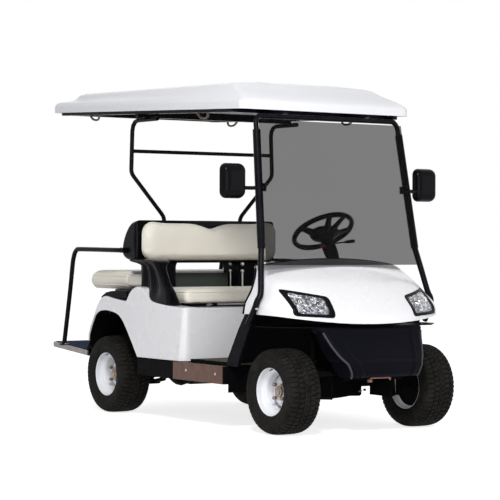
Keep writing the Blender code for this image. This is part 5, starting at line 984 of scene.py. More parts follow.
def thickened(obj, wall):
    """Gives an open skin its wall, inwards, before the shading modifiers."""
    modifier = obj.modifiers.new("wall", "SOLIDIFY")
    modifier.thickness = wall
    modifier.offset = -1
    modifier.use_even_offset = True
    last = len(obj.modifiers) - 1
    if last:
        obj.modifiers.move(last, 0)
    return obj


def facing(obj, inside):
    """Turns an open skin's faces away from a point inside it."""
    mesh = obj.data
    total = sum((p.center - Vector(inside)).dot(p.normal) * p.area for p in mesh.polygons)
    if total < 0:
        mesh.flip_normals()
    return obj


ROOF_FRONT_Y = -0.810
ROOF_REAR_Y = 1.350
ROOF_HALF_WIDTH = 0.577
ROOF_CORNER = 0.045
ROOF_EDGE_Z = 1.748
ROOF_HEIGHT = 0.210
ROOF_TOP_Z = 1.9518
ROOF_WALL = 0.006
ROOF_LENGTH = ROOF_REAR_Y - ROOF_FRONT_Y
# Each ring: share of the half width, shares of the length cut off in front and behind, rise at front and rear
ROOF_ROWS = (
    (1.000, 0.000, 0.000, 0.000, 0.410), (1.000, 0.000, 0.000, 0.020, 0.430), (1.000, 0.000, 0.000, 0.160, 0.570),
    (0.994, 0.001, 0.001, 0.215, 0.632), (0.972, 0.007, 0.006, 0.278, 0.700), (0.935, 0.025, 0.018, 0.380, 0.730),
    (0.905, 0.048, 0.032, 0.470, 0.745), (0.880, 0.075, 0.052, 0.575, 0.765), (0.860, 0.088, 0.064, 0.640, 0.810),
    (0.840, 0.098, 0.072, 0.690, 0.905), (0.800, 0.108, 0.082, 0.730, 0.960), (0.720, 0.122, 0.100, 0.765, 0.985),
    (0.350, 0.200, 0.210, 0.860, 1.000), (0.050, 0.400, 0.400, 0.864, 1.000),
)
ROOF_STEPS = (1, 2, 2, 3, 3, 3, 3, 3, 3, 3, 4, 16, 4)
GROOVE_X = 0.262
GROOVE_WIDTH = 0.011
GROOVE_DEPTH = 0.0060


def roof_outline(half_x, half_y, corner, middle_y):
    """A rounded rectangle with points close enough along its short sides to carry the grooves."""
    corners = rounded(half_x, half_y, corner, 8)
    points = []
    for quarter, arc in enumerate(corners):
        count = 24 if quarter % 2 else 84
        start, goal = arc[-1], corners[(quarter + 1) % 4][0]
        points += arc + [tuple(a + (b - a) * (i / count) for a, b in zip(start, goal)) for i in range(1, count)]
    return [(x, y + middle_y) for x, y in points]


def make_roof():
    shape = Shape()
    rings = []
    for width, front_cut, rear_cut, front_rise, rear_rise in rows_between(ROOF_ROWS, ROOF_STEPS):
        front, rear = ROOF_FRONT_Y + front_cut * ROOF_LENGTH, ROOF_REAR_Y - rear_cut * ROOF_LENGTH
        corner = ROOF_CORNER * (0.35 + 0.65 * width) * (1 if width > 0.4 else width / 0.4)
        ring = []
        for x, y in roof_outline(width * ROOF_HALF_WIDTH, (rear - front) / 2, corner, (front + rear) / 2):
            back = (y - ROOF_FRONT_Y) / ROOF_LENGTH
            z = ROOF_EDGE_Z + ROOF_HEIGHT * (front_rise + (rear_rise - front_rise) * back)
            near = math.exp(-(((abs(x) - GROOVE_X) / GROOVE_WIDTH) ** 2))
            fade = min(1.0, max(0.0, (back - 0.035) / 0.05)) * min(1.0, max(0.0, (0.86 - back) / 0.05))
            deep = min(1.0, max(0.0, (front_rise - 0.40) / 0.15))
            ring.append((x, y, min(z, ROOF_TOP_Z) - GROOVE_DEPTH * near * fade * deep))
        rings.append(ring)
    shape.grid(rings, wrap_columns=True)
    shape.cap(rings[-1])
    roof = thickened(facing(shape.object("roof_shell", "roof_white", 50), (0, 0.3, 1.6)), ROOF_WALL)
    placed(roof, "roof_white", "roof")


# Cowl: each hoop's front, half width, shoulder, rear end, height at the middle and sides, and roundness
COWL_ROWS = (
    (-1.262, 0.583, -0.920, -0.836, 0.590, 0.640, 2.60), (-1.258, 0.582, -0.920, -0.840, 0.613, 0.664, 2.60),
    (-1.244, 0.577, -0.915, -0.846, 0.654, 0.700, 2.55), (-1.173, 0.543, -0.900, -0.850, 0.735, 0.762, 2.35),
    (-1.085, 0.519, -0.875, -0.845, 0.808, 0.817, 2.25), (-0.985, 0.495, -0.840, -0.822, 0.875, 0.858, 2.15),
    (-0.905, 0.478, -0.815, -0.800, 0.913, 0.882, 2.10), (-0.838, 0.466, -0.795, -0.790, 0.930, 0.893, 2.10),
)
COWL_STEPS = (2, 3, 6, 6, 6, 5, 5)
COWL_WALL = 0.005
COWL_COLUMNS = 34


def cowl_skin(rows, steps):
    rings = []
    for front, half, shoulder, rear, middle_z, side_z, power in rows_between(rows, steps):
        reach = shoulder - front
        right = [(half, rear), (half, (rear + shoulder) / 2)]
        for i in range(COWL_COLUMNS + 1):
            angle = math.pi / 2 * i / COWL_COLUMNS
            right.append((half * math.cos(angle) ** (2 / power), shoulder - reach * math.sin(angle) ** (2 / power)))
        right[-1] = (0.0, right[-1][1])
        points = right + [(-x, y) for x, y in right[-2::-1]]
        rings.append([(x, y, middle_z + (side_z - middle_z) * (x / half) ** 2) for x, y in points])
    return rings


# Headlamp: its corners as seen from the front, across and up, and the bezel's rings: size and depth
LAMP_CORNERS = ((0.266, 0.624), (0.480, 0.636), (0.490, 0.779), (0.256, 0.736))
LAMP_ROUNDING = 0.020
BEZEL_RINGS = (
    (0.940, 0.012), (0.985, 0.003), (1.0, -0.0015), (0.985, -0.004), (0.92, -0.0045), (0.80, -0.001), (0.76, 0.003),
    (0.74, 0.012), (0.74, 0.030),
)
LENS_SIZES = (0.75, 0.65, 0.55, 0.45, 0.35, 0.25, 0.15, 0.08)
# Each bulb's place across and up, and its radius; and its section as (along, share of the radius)
BULBS = ((0.335, 0.690, 0.017), (0.425, 0.706, 0.019))
BULB_SECTION = (
    (0.012, 0.2), (0.004, 0.55), (0.0, 1.0), (-0.002, 1.12), (-0.006, 1.12), (-0.010, 1.0), (-0.016, 0.75),
    (-0.019, 0.4),
)


def lamp_loop(size, rounding=LAMP_ROUNDING, steps=5):
    """The lamp's outline at a size about its own middle, as (x, z) points."""
    middle = Vector((sum(x for x, z in LAMP_CORNERS) / 4, sum(z for x, z in LAMP_CORNERS) / 4))
    corners = [middle + (Vector(c) - middle) * size for c in LAMP_CORNERS]
    loop = []
    for i, corner in enumerate(corners):
        before = (corners[i - 1] - corner).normalized()
        after = (corners[(i + 1) % 4] - corner).normalized()
        start, end = corner + before * rounding * size, corner + after * rounding * size
        for k in range(steps + 1):
            t = k / steps
            loop.append((1 - t) ** 2 * start + 2 * t * (1 - t) * corner + t * t * end)
        goal = corners[(i + 1) % 4] - after * rounding * size
        for k in range(1, 8):
            loop.append(end.lerp(goal, k / 8))
    return loop


def make_cowl():
    rings = cowl_skin(COWL_ROWS, COWL_STEPS)
    skin = facing(Shape().grid(rings).object("nose_skin", "body_white", 50), (0, -0.9, 0.6))
    tree = BVHTree.FromPolygons([v.co for v in skin.data.vertices], [tuple(p.vertices) for p in skin.data.polygons])
    skin.modifiers.clear()
    applied(thickened(skin, COWL_WALL))
    for _, side in SIDES:
        ends = [[(side * p.x, y, p.y) for p in lamp_loop(0.93)] for y in (-1.40, -0.93)]
        cut_from(skin, Shape().loft(ends).object("lamp_opening", "body_white"))
    skin.name = "nose_cowl"
    placed(shade(skin, 32, weld=False), "body_white", "front_cowl")
    edging = Shape()
    for end in (0, -1):
        edging.tube([Vector(ring[end]) for ring in rings[::2]], 0.0065, 8)
    placed(edging.object("cowl_edging", "moulded_black", 50), "moulded_black")
    for label, side in SIDES:
        make_lamp(label, side, tree)
    make_dash_pad()


def make_lamp(label, side, tree):
    """A black bezel, a clear lens, and a faceted reflector with its bulbs behind it."""

    def skin_y(x, z):
        hit = tree.ray_cast(Vector((side * x, -2, z)), Vector((0, 1, 0)))[0]
        return hit.y if hit is not None else None

    def ring(size, depth):
        points = []
        for p in lamp_loop(size):
            y = skin_y(p.x, p.y)
            if y is None:
                y = skin_y(p.x - 0.02, p.y)
            points.append(Vector((side * p.x, (y if y is not None else -0.95) + depth, p.y)))
        return points

    bezel = Shape().grid([ring(size, depth) for size, depth in BEZEL_RINGS], wrap_columns=True)
    placed(bezel.object(f"lamp_bezel_{label}", "gloss_black", 40), "moulded_black")
    rows = [ring(size, 0.0045 - 0.004 * (1 - size / 0.75)) for size in LENS_SIZES]
    lens = Shape().grid(rows, wrap_columns=True).cap(rows[-1]).object(f"headlamp_lens_{label}", "lamp_lens", 60)
    placed(thickened(facing(lens, (side * 0.3, -0.9, 0.7)), 0.0025), "lamp_lens", f"headlamp_{label}")
    rows = []
    for i in range(20):
        size = 0.745 - 0.033 * i
        row = []
        for k, p in enumerate(ring(size, 0)):
            lobe = 0.5 + 0.5 * math.cos((abs(p.x) - 0.33) / 0.085 * math.pi)
            deep = 0.014 + 0.022 * min(1.0, (0.745 - size) * 4) * (0.45 + 0.55 * lobe)
            facet = 0.0030 * math.sin(k * 2.399 + i * 1.7) + 0.0018 * math.sin(k * 5.1 - i * 2.9)
            row.append(p + Vector((0, deep + facet, 0)))
        rows.append(row)
    bowl = Shape().grid(rows, wrap_columns=True).cap(rows[-1])
    placed(bowl.object(f"lamp_reflector_{label}", "reflector", 8), "lamp_lens")
    bulbs = Shape()
    for x, z, radius in BULBS:
        y = (skin_y(x, z) or -1.0) + 0.020
        profile = [(-along, radius * share) for along, share in BULB_SECTION] + [(0.020, 0.0005)]
        bulbs.spun(profile, 20, (side * x, y, z), (0, -1, 0))
    placed(bulbs.object(f"lamp_projector_{label}", "reflector", 40), "lamp_lens")


DASH_PAD_ROWS = (
    (-0.948, 0.486, -0.828, -0.812, 0.8975, 0.873, 2.12), (-0.940, 0.484, -0.826, -0.808, 0.9015, 0.8765, 2.12),
    (-0.905, 0.480, -0.815, -0.800, 0.9165, 0.886, 2.10), (-0.850, 0.472, -0.798, -0.790, 0.932, 0.897, 2.10),
    (-0.828, 0.467, -0.785, -0.776, 0.934, 0.898, 2.10), (-0.812, 0.462, -0.772, -0.764, 0.931, 0.894, 2.10),
    (-0.804, 0.458, -0.766, -0.758, 0.922, 0.884, 2.10),
)


def make_dash_pad():
    """The black pad over the cowl's rear edge, under the glass, coloured mid grey as a painted reflection."""
    rings = cowl_skin(DASH_PAD_ROWS, (2, 4, 5, 3, 3, 3))
    pad = thickened(facing(Shape().grid(rings).object("dash_pad", "dash_painted_reflection", 50), (0, -0.85, 0.7)), 0.003)
    placed(pad, "moulded_black")
    lip = Shape().tube([Vector(p) + Vector((0, 0, 0.001)) for p in rings[14]], 0.0042, 8)
    placed(lip.object("dash_lip", "moulded_black", 50), "moulded_black")


# Rear body: the side outline from the front panel's foot over the shoulder and fender to the tail
BODY_HALF_WIDTH = 0.600
BODY_TOP = (
    (-0.250, 0.654), (-0.190, 0.657), (-0.110, 0.660), (-0.030, 0.666), (0.060, 0.676), (0.110, 0.688), (0.142, 0.708),
    (0.168, 0.735), (0.192, 0.754), (0.240, 0.7625), (0.290, 0.754), (0.332, 0.731), (0.358, 0.704), (0.376, 0.682),
    (0.396, 0.6745), (0.470, 0.680), (0.560, 0.691), (0.620, 0.698), (0.665, 0.690), (0.700, 0.668), (0.740, 0.622),
    (0.775, 0.566), (0.815, 0.505), (0.835, 0.462),
)
BODY_BOTTOM_Z = 0.352
BODY_WALL = 0.006
BODY_FRONT_CORNER = 0.058
SEAT_WELL_HALF = 0.506
ARCH_INNER_X = 0.385


def prism_x(outline, low, high):
    """A side outline given width along X."""
    return Shape().loft([[(x, y, z) for y, z in outline] for x in (low, high)])


def make_rear_body():
    """One closed outline, rounded, then hollowed and opened for the seat, the battery bay and the wheels."""
    top = side_path(BODY_TOP, 5)
    front_y, rear_y = top[0][0], top[-1][0]
    outline = [(front_y, BODY_BOTTOM_Z), *top, (rear_y - 0.004, BODY_BOTTOM_Z)]
    body = prism_x(outline, -BODY_HALF_WIDTH, BODY_HALF_WIDTH).object("body_shell", "body_white")
    body.modifiers.clear()
    bm = bmesh.new()
    bm.from_mesh(body.data)
    corners = [
        e for e in bm.edges
        if all(abs(v.co.y - front_y) < 0.001 and abs(abs(v.co.x) - BODY_HALF_WIDTH) < 0.001 for v in e.verts)
        and abs(e.verts[0].co.z - e.verts[1].co.z) > 0.1
    ]
    bmesh.ops.bevel(
        bm, geom=corners, offset=BODY_FRONT_CORNER, offset_type="OFFSET", segments=8, profile=0.5, affect="EDGES"
    )
    bm.to_mesh(body.data)
    bm.free()
    edge = body.modifiers.new("edge", "BEVEL")
    edge.width = 0.016
    edge.segments = 4
    edge.limit_method = "ANGLE"
    edge.angle_limit = math.radians(50)
    applied(body)
    inside = [(y + (BODY_WALL if y < 0.2 else -BODY_WALL), z - 0.007) for y, z in top]
    tail = [(y, z) for y, z in inside if y > 0.66]
    well = SEAT_WELL_HALF
    hollow = [(front_y + BODY_WALL, 0.3), (front_y + BODY_WALL, 0.6455), (0.391, 0.6455), (0.391, 0.6745)]
    hollow += [(0.668, 0.6745)] + [p for p in tail if p[1] < 0.6745] + [(tail[-1][0], 0.3)]
    wells = [(-0.40, 0.6515), (0.385, 0.6515), (0.385, 0.6945), (0.9, 0.6945), (0.9, 0.9), (-0.40, 0.9)]
    fender = [(max(y, front_y + BODY_FRONT_CORNER + 0.004), z) for y, z in inside]
    fender = [(fender[0][0], 0.3)] + fender + [(fender[-1][0], 0.3)]
    arch = side_path(ARCH_PATH, 4)
    cutters = [
        ("hollow", prism_x(hollow, -well - BODY_WALL, well + BODY_WALL)), ("wells", prism_x(wells, -well, well)),
        ("bay", Shape().box((-0.40, -0.06, 0.60), (0.40, 0.27, 0.70))),
    ]
    for _, side in SIDES:
        cutters.append(("fender", prism_x(fender, *across(side, well + BODY_WALL, BODY_HALF_WIDTH - BODY_WALL))))
        cutters.append(("arch", prism_x(arch, *across(side, ARCH_INNER_X, 0.70))))
    for name, cutter in cutters:
        cut_from(body, cutter.object(name, "body_white"))
    placed(shade(body, 30, weld=False), "body_white", "rear_body")


# Backrest shell and hip brackets
# The shell's side outline from its foot in front, up, over and down behind, and how far it may reach in the middle
SHELL_OUTLINE = (
    (0.440, 0.906), (0.440, 1.020), (0.441, 1.142), (0.452, 1.150), (0.486, 1.147), (0.520, 1.131), (0.551, 1.105),
    (0.577, 1.074), (0.596, 1.038), (0.6075, 1.000), (0.610, 0.968), (0.605, 0.944), (0.588, 0.928), (0.560, 0.917),
    (0.500, 0.909),
)
SHELL_HALF = 0.502
SHELL_END = 0.034
SHELL_MIDDLE_REACH = 0.584


def make_backrest_shell():
    outline = smooth_path([(0, y, z) for y, z in SHELL_OUTLINE], 3, closed=True)
    middle = Vector((0, 0.515, 1.03))
    rings = []
    stations = [SHELL_HALF - SHELL_END + SHELL_END * math.sin(math.pi / 2 * i / 7) for i in range(8)]
    stations = [-x for x in stations[::-1]] + [-0.455, -0.445, -0.30, 0.0, 0.30, 0.445, 0.455] + stations
    for x in stations:
        reach = max(0.0, abs(x) - (SHELL_HALF - SHELL_END)) / SHELL_END
        inset = SHELL_END * 0.75 * (1 - math.sqrt(max(0.0, 1 - reach * reach)))
        ring = []
        for point in outline:
            p = point.copy()
            if abs(x) <= 0.446:
                p.y = min(p.y, SHELL_MIDDLE_REACH)
            out = p - middle
            p = middle + out * (1 - inset / max(out.length, 0.02))
            p.y = max(p.y, 0.4395)
            ring.append((x, p.y, p.z))
        rings.append(ring)
    placed(Shape().loft(rings).object("backrest_moulding", "gloss_black", 40), "moulded_black", "backrest_shell")


# Hip bracket, level by level: height, front, rear, inner face, outer face and how deep the outer face is fluted
HIP_LEVELS = (
    (0.640, -0.112, 0.300, 0.509, 0.596, 0.000), (0.660, -0.106, 0.300, 0.509, 0.5985, 0.000),
    (0.672, -0.094, 0.300, 0.509, 0.5985, 0.000), (0.690, -0.078, 0.297, 0.509, 0.592, 0.002),
    (0.712, -0.060, 0.293, 0.509, 0.584, 0.005), (0.738, -0.038, 0.288, 0.508, 0.574, 0.010),
    (0.764, -0.004, 0.286, 0.507, 0.566, 0.014), (0.795, 0.026, 0.288, 0.505, 0.560, 0.016),
    (0.828, 0.050, 0.290, 0.502, 0.558, 0.016), (0.858, 0.074, 0.286, 0.497, 0.558, 0.014),
    (0.882, 0.092, 0.286, 0.486, 0.560, 0.010), (0.898, 0.104, 0.340, 0.468, 0.562, 0.006),
    (0.908, 0.118, 0.420, 0.452, 0.558, 0.002), (0.918, 0.150, 0.450, 0.446, 0.548, 0.000),
    (0.924, 0.200, 0.450, 0.450, 0.530, 0.000),
)


PEDESTAL_LEVELS = ((0.722, 0.004), (0.728, 0.0), (0.80, -0.004), (0.88, -0.002), (0.899, 0.003), (0.902, 0.008))
# Lower rod, its foot, its nut and the nut under the seat: from z to z, and radii
PEDESTAL_RODS = (
    (0.735, 0.846, [(0, 0.0065), (1, 0.0065)]), (0.735, 0.750, [(0, 0.0075), (0.5, 0.010), (1, 0.007)]),
    (0.836, 0.856, [(0, 0.007), (0.4, 0.011), (1, 0.009)]), (0.880, 0.899, [(0, 0.008), (0.5, 0.012), (1, 0.010)]),
)


def make_hip_bracket(label, side):
    """The fluted moulding beside the seat and the pedestal behind it; the rods show on the left only."""
    rings = []
    for z, front, rear, inner, outer, flute in rows_between(HIP_LEVELS, [4] * (len(HIP_LEVELS) - 1)):
        centre_x, centre_y = (inner + outer) / 2, (front + rear) / 2
        half_x, half_y = (outer - inner) / 2, (rear - front) / 2
        points = []
        for quarter, arc in enumerate(rounded(half_x, half_y, min(half_x * 0.72, 0.026), 6)):
            points += arc
            if quarter in (1, 3):
                x, y = arc[-1]
                points += [(x, y + (-y - y) * k / 26) for k in range(1, 26)]
        ring = []
        for x, y in points:
            share = (y + half_y) / (2 * half_y)
            front_flute = math.exp(-(((share - 0.38) / 0.11) ** 2))
            rear_flute = math.exp(-(((share - 0.72) / 0.10) ** 2))
            groove = flute * (front_flute + 0.9 * rear_flute) if x > 0 else 0
            ring.append((side * (centre_x + (x - groove)), centre_y + y, z))
        rings.append(ring)
    moulding = Shape().loft(rings).object(f"hip_moulding_{label}", "gloss_black", 50)
    placed(moulding, "moulded_black", f"hip_bracket_{label}")
    rings = []
    for z, grow in PEDESTAL_LEVELS:
        x0, y0, x1, y1 = 0.222 - grow, 0.410 - grow, 0.372 + grow, 0.610 + grow
        outline = (
            (x0, y0 + 0.02), (x0 + 0.02, y0), (x1 - 0.02, y0), (x1, y0 + 0.02),
            (x1, y1 - 0.01), (x1 - 0.01, y1), (x0 + 0.01, y1), (x0, y1 - 0.01),
        )
        rings.append([(side * x, y, z) for x, y in outline])
    pedestal = Shape().loft(rings).object(f"backrest_pedestal_{label}", "moulded_black", 30, edge=0.004, segments=3)
    placed(pedestal, "moulded_black")
    if side < 0:
        return
    rods = Shape()
    for x, y in ((0.208, 0.490), (0.234, 0.398)):
        for low, high, radii in PEDESTAL_RODS:
            rods.rod((x, y, low), (x, y, high), radii, 14)
    placed(rods.object("pedestal_bolts", "bare_metal", 40), "trim_aluminium")


# Rear deck, wheel houses and the boards under the rear seat
# The wheel arch's opening from the sill in front, over the tyre, to the tail
ARCH_PATH = (
    (0.186, 0.262), (0.224, 0.314), (0.2612, 0.3632), (0.3323, 0.454), (0.404, 0.538), (0.447, 0.576), (0.4945, 0.598),
    (0.586, 0.6125), (0.660, 0.612), (0.712, 0.601), (0.752, 0.576), (0.784, 0.536), (0.812, 0.486), (0.829, 0.444),
    (0.836, 0.400), (0.840, 0.340), (0.842, 0.262),
)
DECK_INSERT = (
    (0.3855, 0.690), (0.392, 0.716), (0.404, 0.7325), (0.440, 0.7335), (0.520, 0.7325), (0.590, 0.728), (0.640, 0.717),
    (0.682, 0.700), (0.694, 0.692), (0.690, 0.684),
)


# The valance under the tail: (y, z) of its top edge
VALANCE = ((0.842, 0.470), (0.862, 0.440), (0.900, 0.400), (0.925, 0.372))


def make_rear_fittings():
    over = [(y, z) for y, z in side_path(ARCH_PATH, 4) if z > 0.37 and y < 0.838]
    valance = Shape()
    for label, side in SIDES:
        outer = [(side * 0.592, y, z + 0.004) for y, z in over]
        crown = [(side * 0.392, y, z + 0.004) for y, z in over]
        wall = [(side * 0.392, y, 0.362) for y, z in over]
        liner = Shape().grid([outer, crown, wall]).object(f"wheel_house_{label}", "chassis_black", 30)
        placed(thickened(liner, 0.003), "moulded_black")
        insert = prism_x(side_path(DECK_INSERT, 3), *across(side, 0.470, 0.592))
        placed(insert.object(f"fender_insert_{label}", "moulded_black", 40, edge=0.003), "moulded_black")
        low, high = across(side, 0.382, 0.489)
        bolster = Shape().box((low, 0.388, 0.753), (high, 0.562, 0.829))
        placed(bolster.object(f"rear_bolster_{label}", "cream_vinyl", 60, edge=0.020, segments=5), "cream_vinyl")
        low, high = across(side, 0.460, 0.560)
        for (y, z), (y2, z2) in zip(VALANCE, VALANCE[1:]):
            valance.loft([slab(low, high, y, z - 0.075, z), slab(low, high, y2, z2 - 0.03, z2)])
    deck = Shape().box((-0.504, 0.387, 0.6965), (0.504, 0.798, 0.7145))
    for i in range(27):
        x = -0.494 + i * 0.038
        deck.box((x - 0.010, 0.400, 0.714), (x + 0.010, 0.790, 0.7165))
    placed(deck.object("rear_deck_mat", "moulded_black", 30, edge=0.0012), "moulded_black", "rear_deck")
    board = Shape()
    board.box((-0.218, 0.534, 0.717), (0.218, 0.548, 0.836))
    board.box((-0.440, 0.616, 0.717), (0.440, 0.790, 0.7345))
    board.box((-0.420, 0.616, 0.7345), (0.420, 0.780, 0.7450))
    placed(board.object("rear_seat_base", "panel_black", 30, edge=0.002), "moulded_black", "rear_seat_board")
    placed(valance.object("tail_valance", "chassis_black", 40, edge=0.002), "chassis_black")


# Footplate with its dark mat and aluminium nosing, and the grab bars
def footplate_top(y):
    return 0.347 + 0.038 * (y - 0.900) / 0.470 + 0.008


# Rings of the nosing and of the mat: how far in from the footplate's edge, and height over its top
NOSING_RINGS = (
    (0.012, -0.030), (0.003, -0.0295), (0.0, -0.026), (0.0, -0.004), (0.003, 0.0), (0.012, 0.0005), (0.014, -0.001),
)
MAT_RINGS = ((0.016, -0.002), (0.016, 0.0015), (0.018, 0.0025))
ARM_PATH = ((0.842, 0.318), (0.94, 0.324), (1.16, 0.342))


def footplate_ring(inset, lift):
    half, front, rear, corner = 0.570 - inset, 0.900, 1.370 - inset, 0.045 - inset
    points = [(-half, front), (half, front)]
    for sign, quarter in ((1, 0), (-1, 1)):
        for i in range(9):
            angle = math.pi / 2 * (quarter + i / 8)
            points.append((sign * (half - corner) + corner * math.cos(angle), rear - corner + corner * math.sin(angle)))
    return [(x, y, footplate_top(y) + lift) for x, y in points]


def make_footplate():
    edge = Shape().loft([footplate_ring(*ring) for ring in NOSING_RINGS])
    placed(edge.object("footplate_nosing", "nosing", 35), "trim_aluminium", "footplate")
    mat = Shape().loft([footplate_ring(*ring) for ring in MAT_RINGS])
    for i in range(28):
        x = -0.540 + i * 0.040
        rib = ((x - 0.006, 0.915), (x + 0.006, 0.915), (x + 0.006, 1.335), (x - 0.006, 1.335))
        mat.loft([[(a, y, footplate_top(y) + lift) for a, y in rib] for lift in (0.002, 0.005)])
    placed(mat.object("footplate_mat", "navy_mat", 40), "moulded_black")
    arms = Shape()
    for x in (0.22, 0.44, -0.22, -0.44):
        arms.loft([slab(x - 0.018, x + 0.018, y, z - 0.022, z) for y, z in ARM_PATH])
    placed(arms.object("footplate_arms", "chassis_black", 40, edge=0.002), "chassis_black")


GRAB_PATH = (
    (0.560, 0.9730), (0.640, 0.9740), (1.030, 0.9768), (1.066, 0.9720), (1.092, 0.954), (1.110, 0.920), (1.120, 0.885),
    (1.150, 0.728), (1.180, 0.590), (1.2265, 0.384),
)


def make_grab_bars():
    for label, side in SIDES:
        corners = [(side * (0.553 if y > 0.7 else 0.515 + (y - 0.56) * 0.27), y, z) for y, z in GRAB_PATH]
        path = smooth_path(corners, 5)
        bar = Shape().tube(path, 0.0142, 16)
        foot = path[-1]
        flange = [(0, 0.031), (0.45, 0.031), (0.5, 0.019), (1, 0.0165)]
        bar.rod(foot - Vector((0, 0, 0.006)), foot + Vector((0, -0.002, 0.012)), flange, 24)
        sleeve = [(0, 0.017), (0.8, 0.0165), (1, 0.0145)]
        bar.rod(path[0] - Vector((0, 0.01, 0)), path[0] + Vector((0, 0.040, 0.001)), sleeve, 20)
        placed(bar.object(f"grab_handle_{label}", "tube_black", 40), "tube_black", f"grab_bar_{label}")
        screws = Shape()
        for turn in range(3):
            angle = 2 * math.pi * turn / 3 + 0.4
            spot = foot + Vector((0.024 * math.cos(angle), 0.024 * math.sin(angle), -0.002))
            screws.rod(spot, spot + Vector((0, 0, 0.006)), [(0, 0.0045), (0.6, 0.0045), (1, 0.003)], 12)
        placed(screws.object(f"grab_screws_{label}", "bare_metal", 40), "trim_aluminium")


# Front bumper: a lofted wedge with pressed ridges, and a lip below
BUMPER_LEVELS = (
    (0.572, 0.334, 0.362, -1.236, -1.152), (0.560, 0.333, 0.361, -1.244, -1.152), (0.535, 0.322, 0.334, -1.252, -1.152),
    (0.480, 0.302, 0.314, -1.285, -1.158), (0.440, 0.284, 0.296, -1.313, -1.168), (0.410, 0.266, 0.278, -1.337, -1.178),
    (0.388, 0.248, 0.262, -1.356, -1.190), (0.370, 0.240, 0.262, -1.365, -1.200), (0.345, 0.228, 0.255, -1.366, -1.215),
    (0.325, 0.222, 0.248, -1.362, -1.225), (0.310, 0.219, 0.242, -1.350, -1.235),
)


TOW_HOOK = (
    (-0.070, -1.285, 0.296), (-0.062, -1.292, 0.304), (0.055, -1.292, 0.304), (0.064, -1.288, 0.300),
    (0.066, -1.285, 0.290),
)


def make_bumper():
    rows = rows_between(BUMPER_LEVELS, [5] * (len(BUMPER_LEVELS) - 1))
    rings = []
    for z, front_half, rear_half, front_y, rear_y in rows:
        ring = []
        for i in range(-44, 45):
            t = i / 44
            x = front_half * t
            y = front_y + 0.016 - 0.016 * (1 - t * t) ** 0.8
            past_panel = abs(x) - 0.76 * front_half
            y += 0.0045 / (1 + math.exp(past_panel / 0.003)) - 0.0035 * math.exp(-((past_panel / 0.010) ** 2))
            if abs(t) < 0.8:
                y += 0.0025 * math.exp(-(((z - 0.392 - 0.016 * (1 - t * t)) / 0.006) ** 2))
            if abs(t) > 0.94:
                y += 0.010 * ((abs(t) - 0.94) / 0.06) ** 2
            ring.append((x, y, z))
        flank = []
        for k in range(1, 7):
            share = k / 7
            x = front_half + (rear_half - front_half) * share + 0.006 * math.sin(math.pi * share)
            flank.append((x, front_y + 0.026 + (rear_y - front_y - 0.026) * share, z))
        flank.append((rear_half, rear_y, z))
        rings.append(ring + flank + [(-x, y, z) for x, y, z in flank[::-1]])
    placed(Shape().loft(rings).object("bumper_moulding", "bumper_black", 30), "moulded_black", "front_bumper")
    # Lighter grey tubes along the bumper's front edges: a painted highlight of its pressed ridges
    ribs = Shape()
    for side in (1, -1):
        path = [(side * (front_half + 0.003), front_y + 0.030, z) for z, front_half, _, front_y, _ in rows[8:]]
        ribs.tube(path, 0.0070, 10)
    placed(ribs.object("bumper_edge_highlights", "ridge_painted_highlight", 40), "moulded_black")
    hook = Shape().tube(TOW_HOOK, 0.0055, 10)
    hook.rod((-0.078, -1.282, 0.288), (-0.056, -1.282, 0.288), [(0, 0.009), (1, 0.009)], 12)
    placed(hook.object("tow_hook", "pink_steel", 40), "chassis_black")


# Steering wheel, column and lever
STEERING_CENTRE = Vector((0.270, -0.390, 1.090))
STEERING_TILT = math.radians(33)
STEERING_AXIS = Vector((0, math.sin(STEERING_TILT), math.cos(STEERING_TILT)))


# Hub and column sections as (along the axis, radius); spokes as degrees round the wheel and half widths
HUB_SECTION = (
    (-0.060, 0.018), (-0.058, 0.034), (-0.046, 0.060), (-0.034, 0.076), (-0.020, 0.083), (-0.008, 0.080),
    (0.004, 0.070), (0.012, 0.050), (0.015, 0.024), (0.0155, 0.0008),
)
COLUMN_SECTION = (
    (-0.640, 0.019), (-0.330, 0.019), (-0.325, 0.024), (-0.220, 0.026), (-0.206, 0.033), (-0.150, 0.040),
    (-0.100, 0.041), (-0.072, 0.036), (-0.066, 0.028), (-0.066, 0.0125), (-0.640, 0.0125),
)
SPOKES = ((-10, 0.034, 0.024), (190, 0.034, 0.024), (252, 0.026, 0.018), (288, 0.026, 0.018))
LEVER = [(0, 0.0042), (0.55, 0.0040), (0.60, 0.0075), (0.70, 0.0098), (0.92, 0.0105), (0.98, 0.0090), (1.0, 0.004)]
RIM_RADIUS = 0.1755


